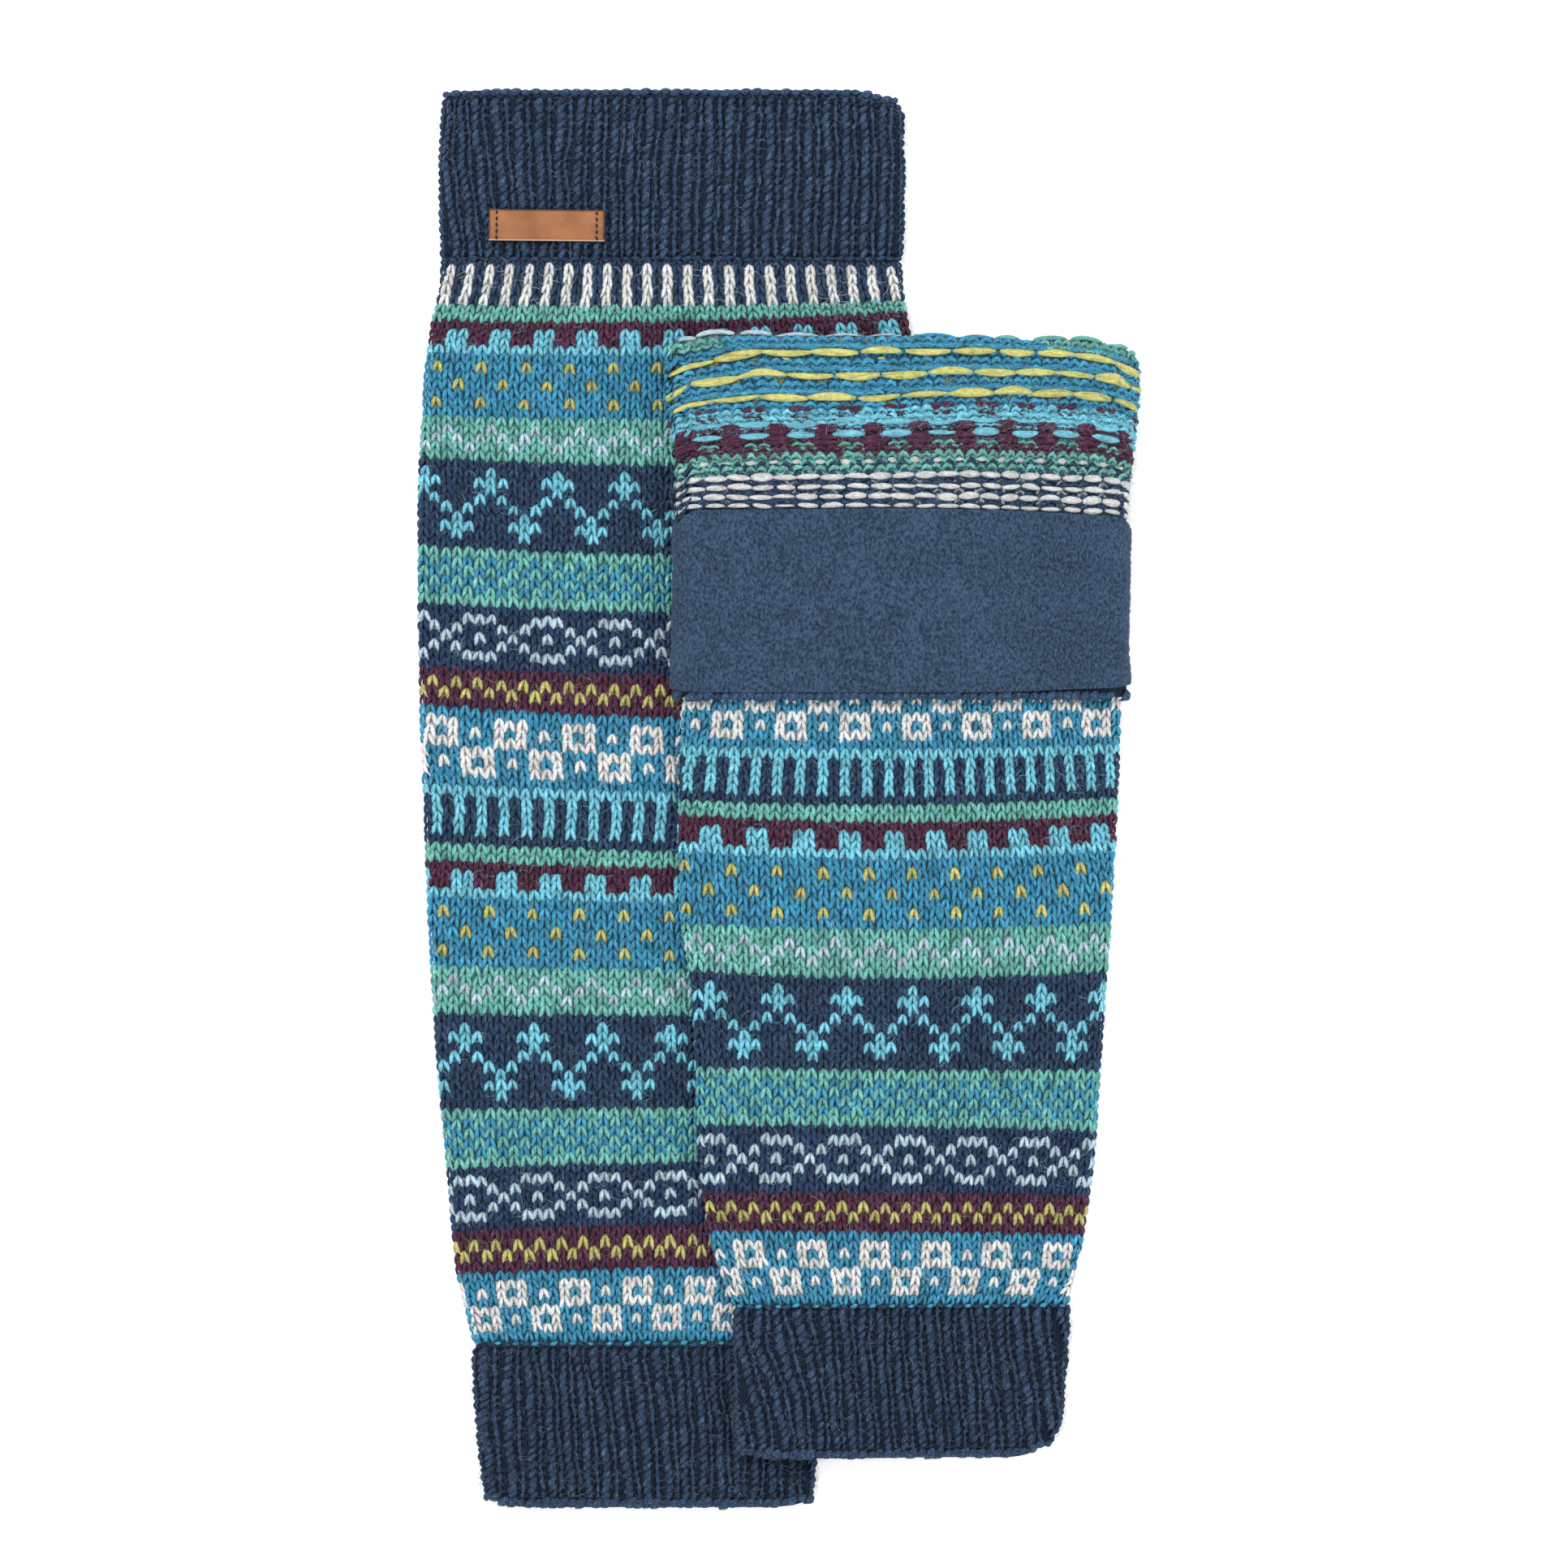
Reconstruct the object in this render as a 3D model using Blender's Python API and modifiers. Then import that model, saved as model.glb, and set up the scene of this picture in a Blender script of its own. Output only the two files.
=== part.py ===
# A pair of knitted leg warmers laid flat. The lower one lies on the left. The upper one lies over
# its right side, with the top turned down, so that the reverse of the knit and the fleece band
# inside the top cuff show.
# Each piece is a tube of cloth pressed flat: a closed profile in (n, y) swept round a flat ring,
# where n is the distance out from the tube's middle and y runs along the leg.
# Lengths are in millimetres, and MM turns them into metres.
import math
from collections import namedtuple

import bmesh
import bpy
from mathutils import Vector

MM = 0.001

# driving dimensions
KNIT_WALL = 2.2
FLEECE_WALL = 1.5
SEAM_GAP = 0.3              # between pieces that meet at a seam
LAYER_GAP = 0.3             # between layers that lie on each other
HOLLOW_HALF = 0.2           # half the space between the two sides of a flattened tube
RIB_HEIGHT = 0.8
TOP_Y = 209.8               # upper rim of the lower leg warmer
BOTTOM_Y = -209.8
LEFT_TOP_SEAM_Y = 159.8     # the ribs of a cuff meet the pattern here
LEFT_ANKLE_SEAM_Y = -162.2
RIGHT_FOLD_Y = 138.0        # where the upper leg warmer turns over
RIGHT_TURNED_SEAM_Y = 85.3
RIGHT_RIM_Y = 30.0          # lower edge of the turned part
RIGHT_ANKLE_SEAM_Y = -150.2
RIGHT_ANKLE_RIM_Y = -195.0
TOP_RIBS = 24
LEFT_ANKLE_RIBS = 18
RIGHT_ANKLE_RIBS = 19
COLUMNS_PER_RIB = 3
LABEL_SIZE = (34.2, 9.2, 1.0)
LABEL_CENTRE = (-68.6, 169.5)
LABEL_TURN = math.radians(-0.6)

# how the upper leg warmer lies on the lower one
DRAPE_START = 6.0           # past the lower one's edge
DRAPE_WIDTH = 36.0
CUFF_STEP_TOP_Y = -146.0    # the support rises here for the thicker cuff
CUFF_STEP_END_Y = -158.0

# faces
PANEL_COLUMNS = 16
SIDE_STEPS = 4
FOLD_STEPS = 5

BODY_HALF = HOLLOW_HALF + KNIT_WALL
TURNED_IN = BODY_HALF + LAYER_GAP
TURNED_OUT = TURNED_IN + KNIT_WALL
LINING_IN = TURNED_OUT + LAYER_GAP
LINING_OUT = LINING_IN + FLEECE_WALL
LEFT_TOP = 2 * BODY_HALF

# outline of each leg's tube: y along the leg, and x of its left and right edges
Edge = namedtuple("Edge", "y left right")
LEFT_EDGES = [
    Edge(209.8, -98.9, 34.6), Edge(205.0, -99.6, 36.4), Edge(188.2, -100.6, 36.7),
    Edge(159.8, -99.8, 36.4), Edge(149.8, -100.4, 36.8), Edge(140.2, -103.1, 38.5),
    Edge(125.8, -105.0, 40.4), Edge(89.8, -106.8, 42.6), Edge(68.2, -106.7, 42.4),
    Edge(32.2, -106.4, 40.4), Edge(-3.8, -105.0, 37.1), Edge(-39.8, -103.6, 33.0),
    Edge(-75.8, -101.4, 28.4), Edge(-104.6, -98.8, 24.1), Edge(-126.2, -96.8, 20.3),
    Edge(-140.6, -95.4, 17.2), Edge(-150.2, -92.8, 14.8), Edge(-161.8, -90.3, 12.4),
    Edge(-169.4, -90.6, 11.9), Edge(-191.0, -88.9, 11.3), Edge(-203.0, -87.7, 10.4),
    Edge(-209.8, -86.2, 9.3),
]
RIGHT_EDGES = [
    Edge(138.0, -29.0, 102.0), Edge(131.5, -31.0, 104.3), Edge(119.5, -30.7, 104.1),
    Edge(100.6, -28.2, 102.3), Edge(82.6, -27.5, 100.2), Edge(68.2, -27.2, 100.0),
    Edge(44.2, -27.7, 99.4), Edge(25.0, -28.7, 101.2), Edge(-3.8, -29.6, 100.2),
    Edge(-34.3, -29.3, 98.5), Edge(-55.7, -25.8, 97.0), Edge(-78.7, -24.6, 95.2),
    Edge(-106.3, -23.9, 93.4), Edge(-116.9, -22.4, 92.0), Edge(-128.4, -20.6, 90.4),
    Edge(-138.0, -18.0, 88.5), Edge(-150.2, -12.9, 85.6), Edge(-156.0, -13.3, 86.0),
    Edge(-164.0, -13.2, 84.8), Edge(-184.0, -12.6, 84.1), Edge(-190.0, -12.2, 82.4),
    Edge(-195.0, -10.4, 79.4),
]

# how far the outermost layer of the upper leg warmer lies from its middle
Lift = namedtuple("Lift", "y half")
RIGHT_LIFTS = [
    Lift(138.0, TURNED_OUT), Lift(100.6, TURNED_OUT), Lift(87.5, LINING_OUT), Lift(28.5, LINING_OUT),
    Lift(22.0, LINING_OUT - 0.8), Lift(8.0, BODY_HALF + 0.7), Lift(0.0, BODY_HALF),
]

# how far each rim or fold drops towards the sides: y where it acts, and the drop at the corners
Bow = namedtuple("Bow", "y left right")
LEFT_BOWS = [
    Bow(209.8, 0.8, 2.8), Bow(196.0, 0.0, 0.8), Bow(170.0, 0.0, 0.0), Bow(-190.0, 0.0, 0.0),
    Bow(-209.8, -2.0, -1.4),
]
RIGHT_BOWS = [
    Bow(138.0, 5.0, 5.6), Bow(118.0, 1.0, 1.2), Bow(85.0, 0.0, 0.0), Bow(-175.0, 0.0, 0.0),
    Bow(-195.0, -0.8, -3.2),
]
BOW_CORNER = 0.16           # share of the width that a corner takes


def column(rows, name, y):
    """A named column of a table, read at y by straight lines between the rows."""
    rows = sorted(rows, key=lambda row: row.y)
    if y <= rows[0].y:
        return getattr(rows[0], name)
    for low, high in zip(rows, rows[1:]):
        if y <= high.y:
            share = (y - low.y) / (high.y - low.y)
            return (1 - share) * getattr(low, name) + share * getattr(high, name)
    return getattr(rows[-1], name)


def smooth(share):
    """From 0 to 1 with level ends."""
    share = min(1.0, max(0.0, share))
    return share * share * (3 - 2 * share)


def left_middle(x, y):
    """Height of the lower tube's middle: it lies flat on the surface."""
    return BODY_HALF


def right_middle(x, y):
    """Height of the upper tube's middle, which lies on the lower one and falls to the surface past its edge."""
    cuff_share = smooth((CUFF_STEP_TOP_Y - y) / (CUFF_STEP_TOP_Y - CUFF_STEP_END_Y))
    support = LEFT_TOP + LAYER_GAP + RIB_HEIGHT * cuff_share
    past_edge = x - column(LEFT_EDGES, "right", y) - DRAPE_START
    return support * (1 - smooth(past_edge / DRAPE_WIDTH)) + column(RIGHT_LIFTS, "half", y)


Leg = namedtuple("Leg", "edges lifts bows middle")
LEFT_LEG = Leg(LEFT_EDGES, [], LEFT_BOWS, left_middle)
RIGHT_LEG = Leg(RIGHT_EDGES, RIGHT_LIFTS, RIGHT_BOWS, right_middle)

# a place on the ring: u across the width, the direction out of the middle, and a rib's height there
Slot = namedtuple("Slot", "u angle rib")
Station = namedtuple("Station", "n y ribbed")


def ring_slots(top_columns, ribs=0):
    """Slots across the top, round the right side, back along the underside and up the left side."""
    quarter = math.pi / 2
    slots = []
    for i in range(top_columns + 1):
        on_crest = ribs > 0 and i % COLUMNS_PER_RIB != 0
        slots.append(Slot(i / top_columns, quarter, RIB_HEIGHT if on_crest else 0.0))
    for i in range(1, SIDE_STEPS):
        slots.append(Slot(1.0, quarter - math.pi * i / SIDE_STEPS, 0.0))
    for i in range(PANEL_COLUMNS + 1):
        slots.append(Slot(1 - i / PANEL_COLUMNS, -quarter, 0.0))
    for i in range(1, SIDE_STEPS):
        slots.append(Slot(0.0, -quarter - math.pi * i / SIDE_STEPS, 0.0))
    return slots


def place(leg, slot, station):
    """A point of a leg's cloth, in metres."""
    y = station.y
    left = column(leg.edges, "left", y) + BODY_HALF
    right = column(leg.edges, "right", y) - BODY_HALF
    n = station.n + (slot.rib if station.ribbed else 0.0)
    x = left + (right - left) * slot.u
    height = leg.middle(x, y) + n * math.sin(slot.angle)
    from_left = max(0.0, 1 - slot.u / BOW_CORNER)
    from_right = max(0.0, 1 - (1 - slot.u) / BOW_CORNER)
    drop = column(leg.bows, "left", y) * from_left ** 2 + column(leg.bows, "right", y) * from_right ** 2
    return Vector((x + n * math.cos(slot.angle), y - drop, height)) * MM


def sweep(name, leg, slots, profile, material):
    """Sweep a closed profile of stations round the ring, as one closed wall of cloth."""
    mesh = bpy.data.meshes.new(name)
    bm = bmesh.new()
    rows = [[bm.verts.new(place(leg, slot, station)) for slot in slots] for station in profile]
    for row, next_row in zip(rows, rows[1:] + rows[:1]):
        for i in range(len(slots)):
            j = (i + 1) % len(slots)
            bm.faces.new((row[i], row[j], next_row[j], next_row[i]))
    bmesh.ops.recalc_face_normals(bm, faces=bm.faces)
    bm.to_mesh(mesh)
    bm.free()
    mesh.shade_smooth()
    mesh.materials.append(material)
    piece = bpy.data.objects.new(name, mesh)
    garment.objects.link(piece)
    return piece


def run(n, ys, ribbed=False):
    """Stations along the leg at one distance from the middle."""
    return [Station(n, y, ribbed) for y in ys]


def levels(leg, upper, lower):
    """The places along the leg from upper to lower: the ends, and each row of the leg's tables between."""
    inside = {row.y for row in leg.edges + leg.lifts if lower + 1.0 < row.y < upper - 1.0}
    return [upper] + sorted(inside, reverse=True) + [lower]


def rim(inner, outer, y, towards, ribbed=False):
    """A soft rim: two points that stand past the wall's ends at y."""
    third = (outer - inner) / 3
    return [Station(outer - third, y + towards, ribbed), Station(inner + third, y + towards, False)]


def cloth_material(name, colour, roughness):
    material = bpy.data.materials.new(name)
    material.use_nodes = True
    shader = material.node_tree.nodes["Principled BSDF"]
    shader.inputs["Base Color"].default_value = (*colour, 1.0)
    shader.inputs["Roughness"].default_value = roughness
    shader.inputs["Metallic"].default_value = 0.0
    material.diffuse_color = (*colour, 1.0)
    return material


def left_body():
    ys = levels(LEFT_LEG, LEFT_TOP_SEAM_Y - SEAM_GAP / 2, LEFT_ANKLE_SEAM_Y + SEAM_GAP / 2)
    profile = run(HOLLOW_HALF, reversed(ys)) + run(BODY_HALF, ys)
    sweep("left_body", LEFT_LEG, ring_slots(PANEL_COLUMNS), profile, pattern_knit)


def right_body():
    """The wall goes up inside, turns over at the fold and comes down outside itself."""
    fold_middle = (BODY_HALF + TURNED_IN) / 2
    fold_radius = TURNED_OUT - fold_middle
    fold_y = RIGHT_FOLD_Y - fold_radius
    ys = levels(RIGHT_LEG, fold_y, RIGHT_ANKLE_SEAM_Y + SEAM_GAP / 2)
    turned_ys = levels(RIGHT_LEG, fold_y, RIGHT_TURNED_SEAM_Y + SEAM_GAP / 2)
    inner_run = run(HOLLOW_HALF, reversed(ys))
    outer_fold = [
        Station(fold_middle - fold_radius * math.cos(turn), fold_y + fold_radius * math.sin(turn), False)
        for turn in (math.pi * i / FOLD_STEPS for i in range(1, FOLD_STEPS))
    ]
    outer_run = run(TURNED_OUT, turned_ys)
    turned_inside = run(TURNED_IN, reversed(turned_ys))
    inner_fold = [Station(fold_middle, fold_y + LAYER_GAP / 2, False)]
    body_outside = run(BODY_HALF, ys)
    profile = inner_run + outer_fold + outer_run + turned_inside + inner_fold + body_outside
    sweep("right_body", RIGHT_LEG, ring_slots(PANEL_COLUMNS), profile, pattern_knit)


def cuff(name, leg, ribs, seam_y, rim_y):
    """A ribbed cuff: ribs raised on the side that shows, over a plain inside, and a plain underside."""
    towards = math.copysign(1.0, rim_y - seam_y)
    seam_end = seam_y + towards * SEAM_GAP / 2
    rim_start = rim_y - towards * KNIT_WALL / 3
    middle = [seam_end + (rim_start - seam_end) * share for share in (0.06, 0.5, 0.9)]
    outer = [Station(BODY_HALF, seam_end, False)] + run(BODY_HALF, middle, ribbed=True)
    outer.append(Station(BODY_HALF, rim_start, True))
    inner = run(HOLLOW_HALF, (rim_start, middle[1], seam_end))
    profile = outer + rim(HOLLOW_HALF, BODY_HALF, rim_start, towards * KNIT_WALL / 3) + inner
    sweep(name, leg, ring_slots(COLUMNS_PER_RIB * ribs, ribs), profile, rib_knit)


def right_top_cuff():
    """The turned top cuff, hidden by the fleece but for its rim."""
    ys = levels(RIGHT_LEG, RIGHT_TURNED_SEAM_Y - SEAM_GAP / 2, RIGHT_RIM_Y + KNIT_WALL / 3)
    ends = rim(TURNED_IN, TURNED_OUT, ys[-1], -KNIT_WALL / 3)
    profile = run(TURNED_OUT, ys) + ends + run(TURNED_IN, reversed(ys))
    sweep("right_top_cuff", RIGHT_LEG, ring_slots(PANEL_COLUMNS), profile, rib_knit)


def right_lining():
    """The fleece band, outermost on the turned part."""
    upper = RIGHT_TURNED_SEAM_Y + 0.8
    lower = RIGHT_RIM_Y + 1.2
    round_end = FLEECE_WALL / 3
    ys = levels(RIGHT_LEG, upper - round_end, lower + round_end)
    upper_rim = rim(LINING_IN, LINING_OUT, ys[0], round_end)
    lower_rim = rim(LINING_IN, LINING_OUT, ys[-1], -round_end)
    profile = run(LINING_OUT, ys) + lower_rim + run(LINING_IN, reversed(ys)) + upper_rim[::-1]
    sweep("right_lining", RIGHT_LEG, ring_slots(PANEL_COLUMNS), profile, fleece)


def left_label():
    """A plain leather patch on the crests of the top cuff's ribs."""
    rest = LEFT_TOP + RIB_HEIGHT + LAYER_GAP
    width, height, thickness = LABEL_SIZE
    bpy.ops.mesh.primitive_cube_add(size=1.0)
    label = bpy.context.object
    label.name = "left_label"
    label.data.name = "left_label"
    for vertex in label.data.vertices:
        vertex.co = Vector((vertex.co.x * width, vertex.co.y * height, vertex.co.z * thickness)) * MM
    label.location = Vector((*LABEL_CENTRE, rest + thickness / 2)) * MM
    label.rotation_euler.z = LABEL_TURN
    bevel = label.modifiers.new("soft_edges", "BEVEL")
    bevel.width = 0.25 * MM
    bevel.segments = 2
    label.data.materials.append(leather)
    for collection in label.users_collection:
        collection.objects.unlink(label)
    garment.objects.link(label)


for old in list(bpy.data.objects):
    bpy.data.objects.remove(old, do_unlink=True)

garment = bpy.data.collections.new("leg_warmers")
bpy.context.scene.collection.children.link(garment)
pattern_knit = cloth_material("pattern_knit", (0.07, 0.22, 0.34), 0.95)
rib_knit = cloth_material("rib_knit", (0.02, 0.05, 0.12), 0.95)
fleece = cloth_material("fleece", (0.05, 0.12, 0.2), 1.0)
leather = cloth_material("leather", (0.55, 0.22, 0.07), 0.6)

left_body()
cuff("left_top_cuff", LEFT_LEG, TOP_RIBS, LEFT_TOP_SEAM_Y, TOP_Y)
cuff("left_bottom_cuff", LEFT_LEG, LEFT_ANKLE_RIBS, LEFT_ANKLE_SEAM_Y, BOTTOM_Y)
left_label()
right_body()
cuff("right_bottom_cuff", RIGHT_LEG, RIGHT_ANKLE_RIBS, RIGHT_ANKLE_SEAM_Y, RIGHT_ANKLE_RIM_Y)
right_top_cuff()
right_lining()
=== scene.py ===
import math

import bmesh
import bpy
import numpy as np
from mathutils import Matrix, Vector


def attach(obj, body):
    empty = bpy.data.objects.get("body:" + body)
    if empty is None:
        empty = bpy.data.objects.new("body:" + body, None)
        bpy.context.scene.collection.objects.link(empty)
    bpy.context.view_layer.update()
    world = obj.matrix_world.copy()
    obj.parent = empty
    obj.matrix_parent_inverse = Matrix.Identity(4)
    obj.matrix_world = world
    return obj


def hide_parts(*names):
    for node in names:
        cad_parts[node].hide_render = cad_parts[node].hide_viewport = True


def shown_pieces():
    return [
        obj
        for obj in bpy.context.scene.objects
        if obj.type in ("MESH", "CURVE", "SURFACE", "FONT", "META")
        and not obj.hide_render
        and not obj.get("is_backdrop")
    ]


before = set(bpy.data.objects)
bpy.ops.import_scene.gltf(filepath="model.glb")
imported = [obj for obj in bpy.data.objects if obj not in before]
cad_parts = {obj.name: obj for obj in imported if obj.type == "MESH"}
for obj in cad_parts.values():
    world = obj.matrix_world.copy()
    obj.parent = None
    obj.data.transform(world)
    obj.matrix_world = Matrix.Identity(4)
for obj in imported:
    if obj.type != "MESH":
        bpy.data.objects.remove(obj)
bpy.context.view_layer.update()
mm = 0.001
dice = np.random.default_rng(11)

# ---- form of the two leg warmers, in millimetres, as the solids have it
cloth = {"hollow": 0.2, "knitWall": 2.2, "fleeceWall": 1.5, "layerGap": 0.3, "ribHeight": 0.8}
bodyHalf = cloth["hollow"] + cloth["knitWall"]
turnedIn = bodyHalf + cloth["layerGap"]
turnedOut = turnedIn + cloth["knitWall"]
liningIn = turnedOut + cloth["layerGap"]
liningOut = liningIn + cloth["fleeceWall"]
lowerTop = 2 * bodyHalf
drape = {"start": 6.0, "width": 36.0, "cuffFrom": -146.0, "cuffTo": -158.0}
foldMiddle = (bodyHalf + turnedIn) / 2
foldRadius = turnedOut - foldMiddle
foldY = 138.0 - foldRadius
bowCorner = 0.16

lowerEdges = [  # y, left, right
    (209.8, -98.9, 34.6), (205.0, -99.6, 36.4), (188.2, -100.6, 36.7), (159.8, -99.8, 36.4),
    (149.8, -100.4, 36.8), (140.2, -103.1, 38.5), (125.8, -105.0, 40.4), (89.8, -106.8, 42.6),
    (68.2, -106.7, 42.4), (32.2, -106.4, 40.4), (-3.8, -105.0, 37.1), (-39.8, -103.6, 33.0),
    (-75.8, -101.4, 28.4), (-104.6, -98.8, 24.1), (-126.2, -96.8, 20.3), (-140.6, -95.4, 17.2),
    (-150.2, -92.8, 14.8), (-161.8, -90.3, 12.4), (-169.4, -90.6, 11.9), (-191.0, -88.9, 11.3),
    (-203.0, -87.7, 10.4), (-209.8, -86.2, 9.3)]
upperEdges = [
    (138.0, -29.0, 102.0), (131.5, -31.0, 104.3), (119.5, -30.7, 104.1), (100.6, -28.2, 102.3),
    (82.6, -27.5, 100.2), (68.2, -27.2, 100.0), (44.2, -27.7, 99.4), (25.0, -28.7, 101.2),
    (-3.8, -29.6, 100.2), (-34.3, -29.3, 98.5), (-55.7, -25.8, 97.0), (-78.7, -24.6, 95.2),
    (-106.3, -23.9, 93.4), (-116.9, -22.4, 92.0), (-128.4, -20.6, 90.4), (-138.0, -18.0, 88.5),
    (-150.2, -12.9, 85.6), (-156.0, -13.3, 86.0), (-164.0, -13.2, 84.8), (-184.0, -12.6, 84.1),
    (-190.0, -12.2, 82.4), (-195.0, -10.4, 79.4)]
upperLifts = [  # y, outermost layer's distance from the tube's middle
    (138.0, turnedOut), (100.6, turnedOut), (87.5, liningOut), (28.5, liningOut),
    (22.0, liningOut - 0.8), (8.0, bodyHalf + 0.7), (0.0, bodyHalf)]
lowerBows = [  # y, drop at the left corner, drop at the right corner
    (209.8, 0.8, 2.8), (196.0, 0.0, 0.8), (170.0, 0.0, 0.0), (-190.0, 0.0, 0.0), (-209.8, -2.0, -1.4)]
upperBows = [
    (138.0, 1.4, 2.4), (118.0, 1.0, 1.2), (85.0, 0.0, 0.0), (-175.0, 0.0, 0.0), (-195.0, -0.8, -3.2)]


def softLine(rows, column, reach=9):  # one column of a table over y, its corners rounded
    ys = [row[0] for row in rows][::-1]
    grid = np.arange(-222.0, 222.5, 0.5)
    line = np.interp(grid, ys, [row[column] for row in rows][::-1])
    weights = np.hanning(2 * reach + 3)[1:-1]
    line = np.convolve(np.pad(line, reach, mode="edge"), weights / weights.sum(), mode="valid")
    return grid, line


def read(line, y):
    return np.interp(y, line[0], line[1])


def smooth(share):
    share = np.clip(share, 0.0, 1.0)
    return share * share * (3 - 2 * share)


def legForm(edges, bows, lifts):
    return {"left": softLine(edges, 1), "right": softLine(edges, 2), "bowLeft": softLine(bows, 1, 3),
            "bowRight": softLine(bows, 2, 3), "lift": softLine(lifts, 1, 3) if lifts else None}


lower = legForm(lowerEdges, lowerBows, [])
upper = legForm(upperEdges, upperBows, upperLifts)

# soft troughs and ridges: x, y, direction in degrees, length, width, height
lower["creases"] = [
    (-86, 96, 78, 70, 10, 0.35), (-60, 40, 95, 90, 14, -0.3), (-92, -20, 86, 80, 12, 0.4),
    (-45, -70, 100, 60, 16, 0.3), (-78, -122, 82, 46, 9, -0.35), (-58, -136, 88, 30, 6, 0.35),
    (-38, -132, 93, 34, 7, -0.3), (-70, 140, 4, 60, 8, -0.25), (10, 146, -6, 50, 8, -0.3)]
upper["creases"] = [
    (-14, 0, 84, 90, 12, 0.45), (12, -60, 98, 70, 13, -0.35), (52, -20, 86, 80, 18, 0.35),
    (84, -80, 92, 90, 12, -0.4), (4, -124, 74, 40, 8, 0.5), (26, -132, 86, 34, 7, -0.4),
    (48, -128, 92, 40, 9, 0.4), (70, -134, 98, 32, 7, -0.35), (-8, -146, 70, 22, 6, 0.4)]


def relief(leg, x, y):  # height of the creases there
    total = np.zeros(np.broadcast(x, y).shape)
    for cx, cy, turn, length, width, height in leg["creases"]:
        c, s = math.cos(math.radians(turn)), math.sin(math.radians(turn))
        along = ((x - cx) * c + (y - cy) * s) / (length / 2)
        across = (-(x - cx) * s + (y - cy) * c) / (width / 2)
        total += height * np.exp(-across ** 2 - along ** 2)
    return total


def middleHeight(leg, x, y):
    if leg["lift"] is None:
        return np.full(np.broadcast(x, y).shape, bodyHalf)
    cuffShare = smooth((drape["cuffFrom"] - y) / (drape["cuffFrom"] - drape["cuffTo"]))
    support = lowerTop + cloth["layerGap"] + cloth["ribHeight"] * cuffShare
    past = x - read(lower["right"], y) - drape["start"]
    return support * (1 - smooth(past / drape["width"])) + read(leg["lift"], y)


def onRing(leg, s, y, n):  # s runs over the front and on round the sides, n is the height off the tube's middle
    s, y, n = np.broadcast_arrays(np.asarray(s, float), np.asarray(y, float), np.asarray(n, float))
    left = read(leg["left"], y) + bodyHalf
    right = read(leg["right"], y) - bodyHalf
    half = math.pi * bodyHalf
    around = 2 * (right - left) + 2 * half
    centre = (left + right) / 2
    s = (s - centre + around / 2) % around - around / 2 + centre
    pastRight = np.maximum(s - right, 0)
    pastLeft = np.maximum(left - s, 0)
    turn = (np.minimum(pastRight, half) - np.minimum(pastLeft, half)) / bodyHalf
    x = np.clip(s, left, right) - np.maximum(pastRight - half, 0) + np.maximum(pastLeft - half, 0)
    drop = dropAt(leg, x, y)
    onTop = np.clip(np.cos(turn), 0, 1)
    n = n + relief(leg, x, y) * onTop
    return np.stack([x + n * np.sin(turn), y - drop, middleHeight(leg, x, y) + n * np.cos(turn)], axis=-1)


crestSag = {"across": (-29.0, -22.0, 0.0, 40.0, 57.0, 75.0, 90.0, 104.0),
            "drop": (0.6, 0.1, 1.0, 1.1, 1.5, 2.3, 1.9, 2.2), "from": 118.0, "full": 138.0}


def dropAt(leg, x, y):  # how far the corners bow down, and the turned edge sags
    left = read(leg["left"], y) + bodyHalf
    right = read(leg["right"], y) - bodyHalf
    u = np.clip((x - left) / (right - left), 0, 1)
    drop = read(leg["bowLeft"], y) * np.maximum(0, 1 - u / bowCorner) ** 3.5
    drop = drop + read(leg["bowRight"], y) * np.maximum(0, 1 - (1 - u) / bowCorner) ** 3.5
    if leg["lift"] is None:
        return drop
    share = smooth((y - crestSag["from"]) / (crestSag["full"] - crestSag["from"]))
    return drop + np.interp(x, crestSag["across"], crestSag["drop"]) * share


def ringAt(leg, x, y, n):  # place on the ring that shows at x from above, at height n off the middle
    left = read(leg["left"], y) + bodyHalf
    right = read(leg["right"], y) - bodyHalf
    pastLeft = 1.15 * np.maximum(left - x, 0) / n
    pastRight = 1.15 * np.maximum(x - right, 0) / n
    return np.clip(x, left, right) + bodyHalf * (pastRight - pastLeft)


def wander(x, y):  # the rows and wales never run quite true
    aside = 0.15 * np.sin(0.71 * x + 0.43 * y + 1.7) + 0.13 * np.sin(0.83 * y - 0.37 * x + 0.6)
    along = 0.17 * np.sin(1.13 * x - 0.31 * y + 0.9) + 0.16 * np.sin(0.47 * x + 0.67 * y + 2.1)
    return aside, along


def turnAt(leg, s, y):  # angle round the side, 0 on the front
    left = read(leg["left"], y) + bodyHalf
    right = read(leg["right"], y) - bodyHalf
    return (np.maximum(s - right, 0) - np.maximum(left - s, 0)) / bodyHalf


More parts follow.
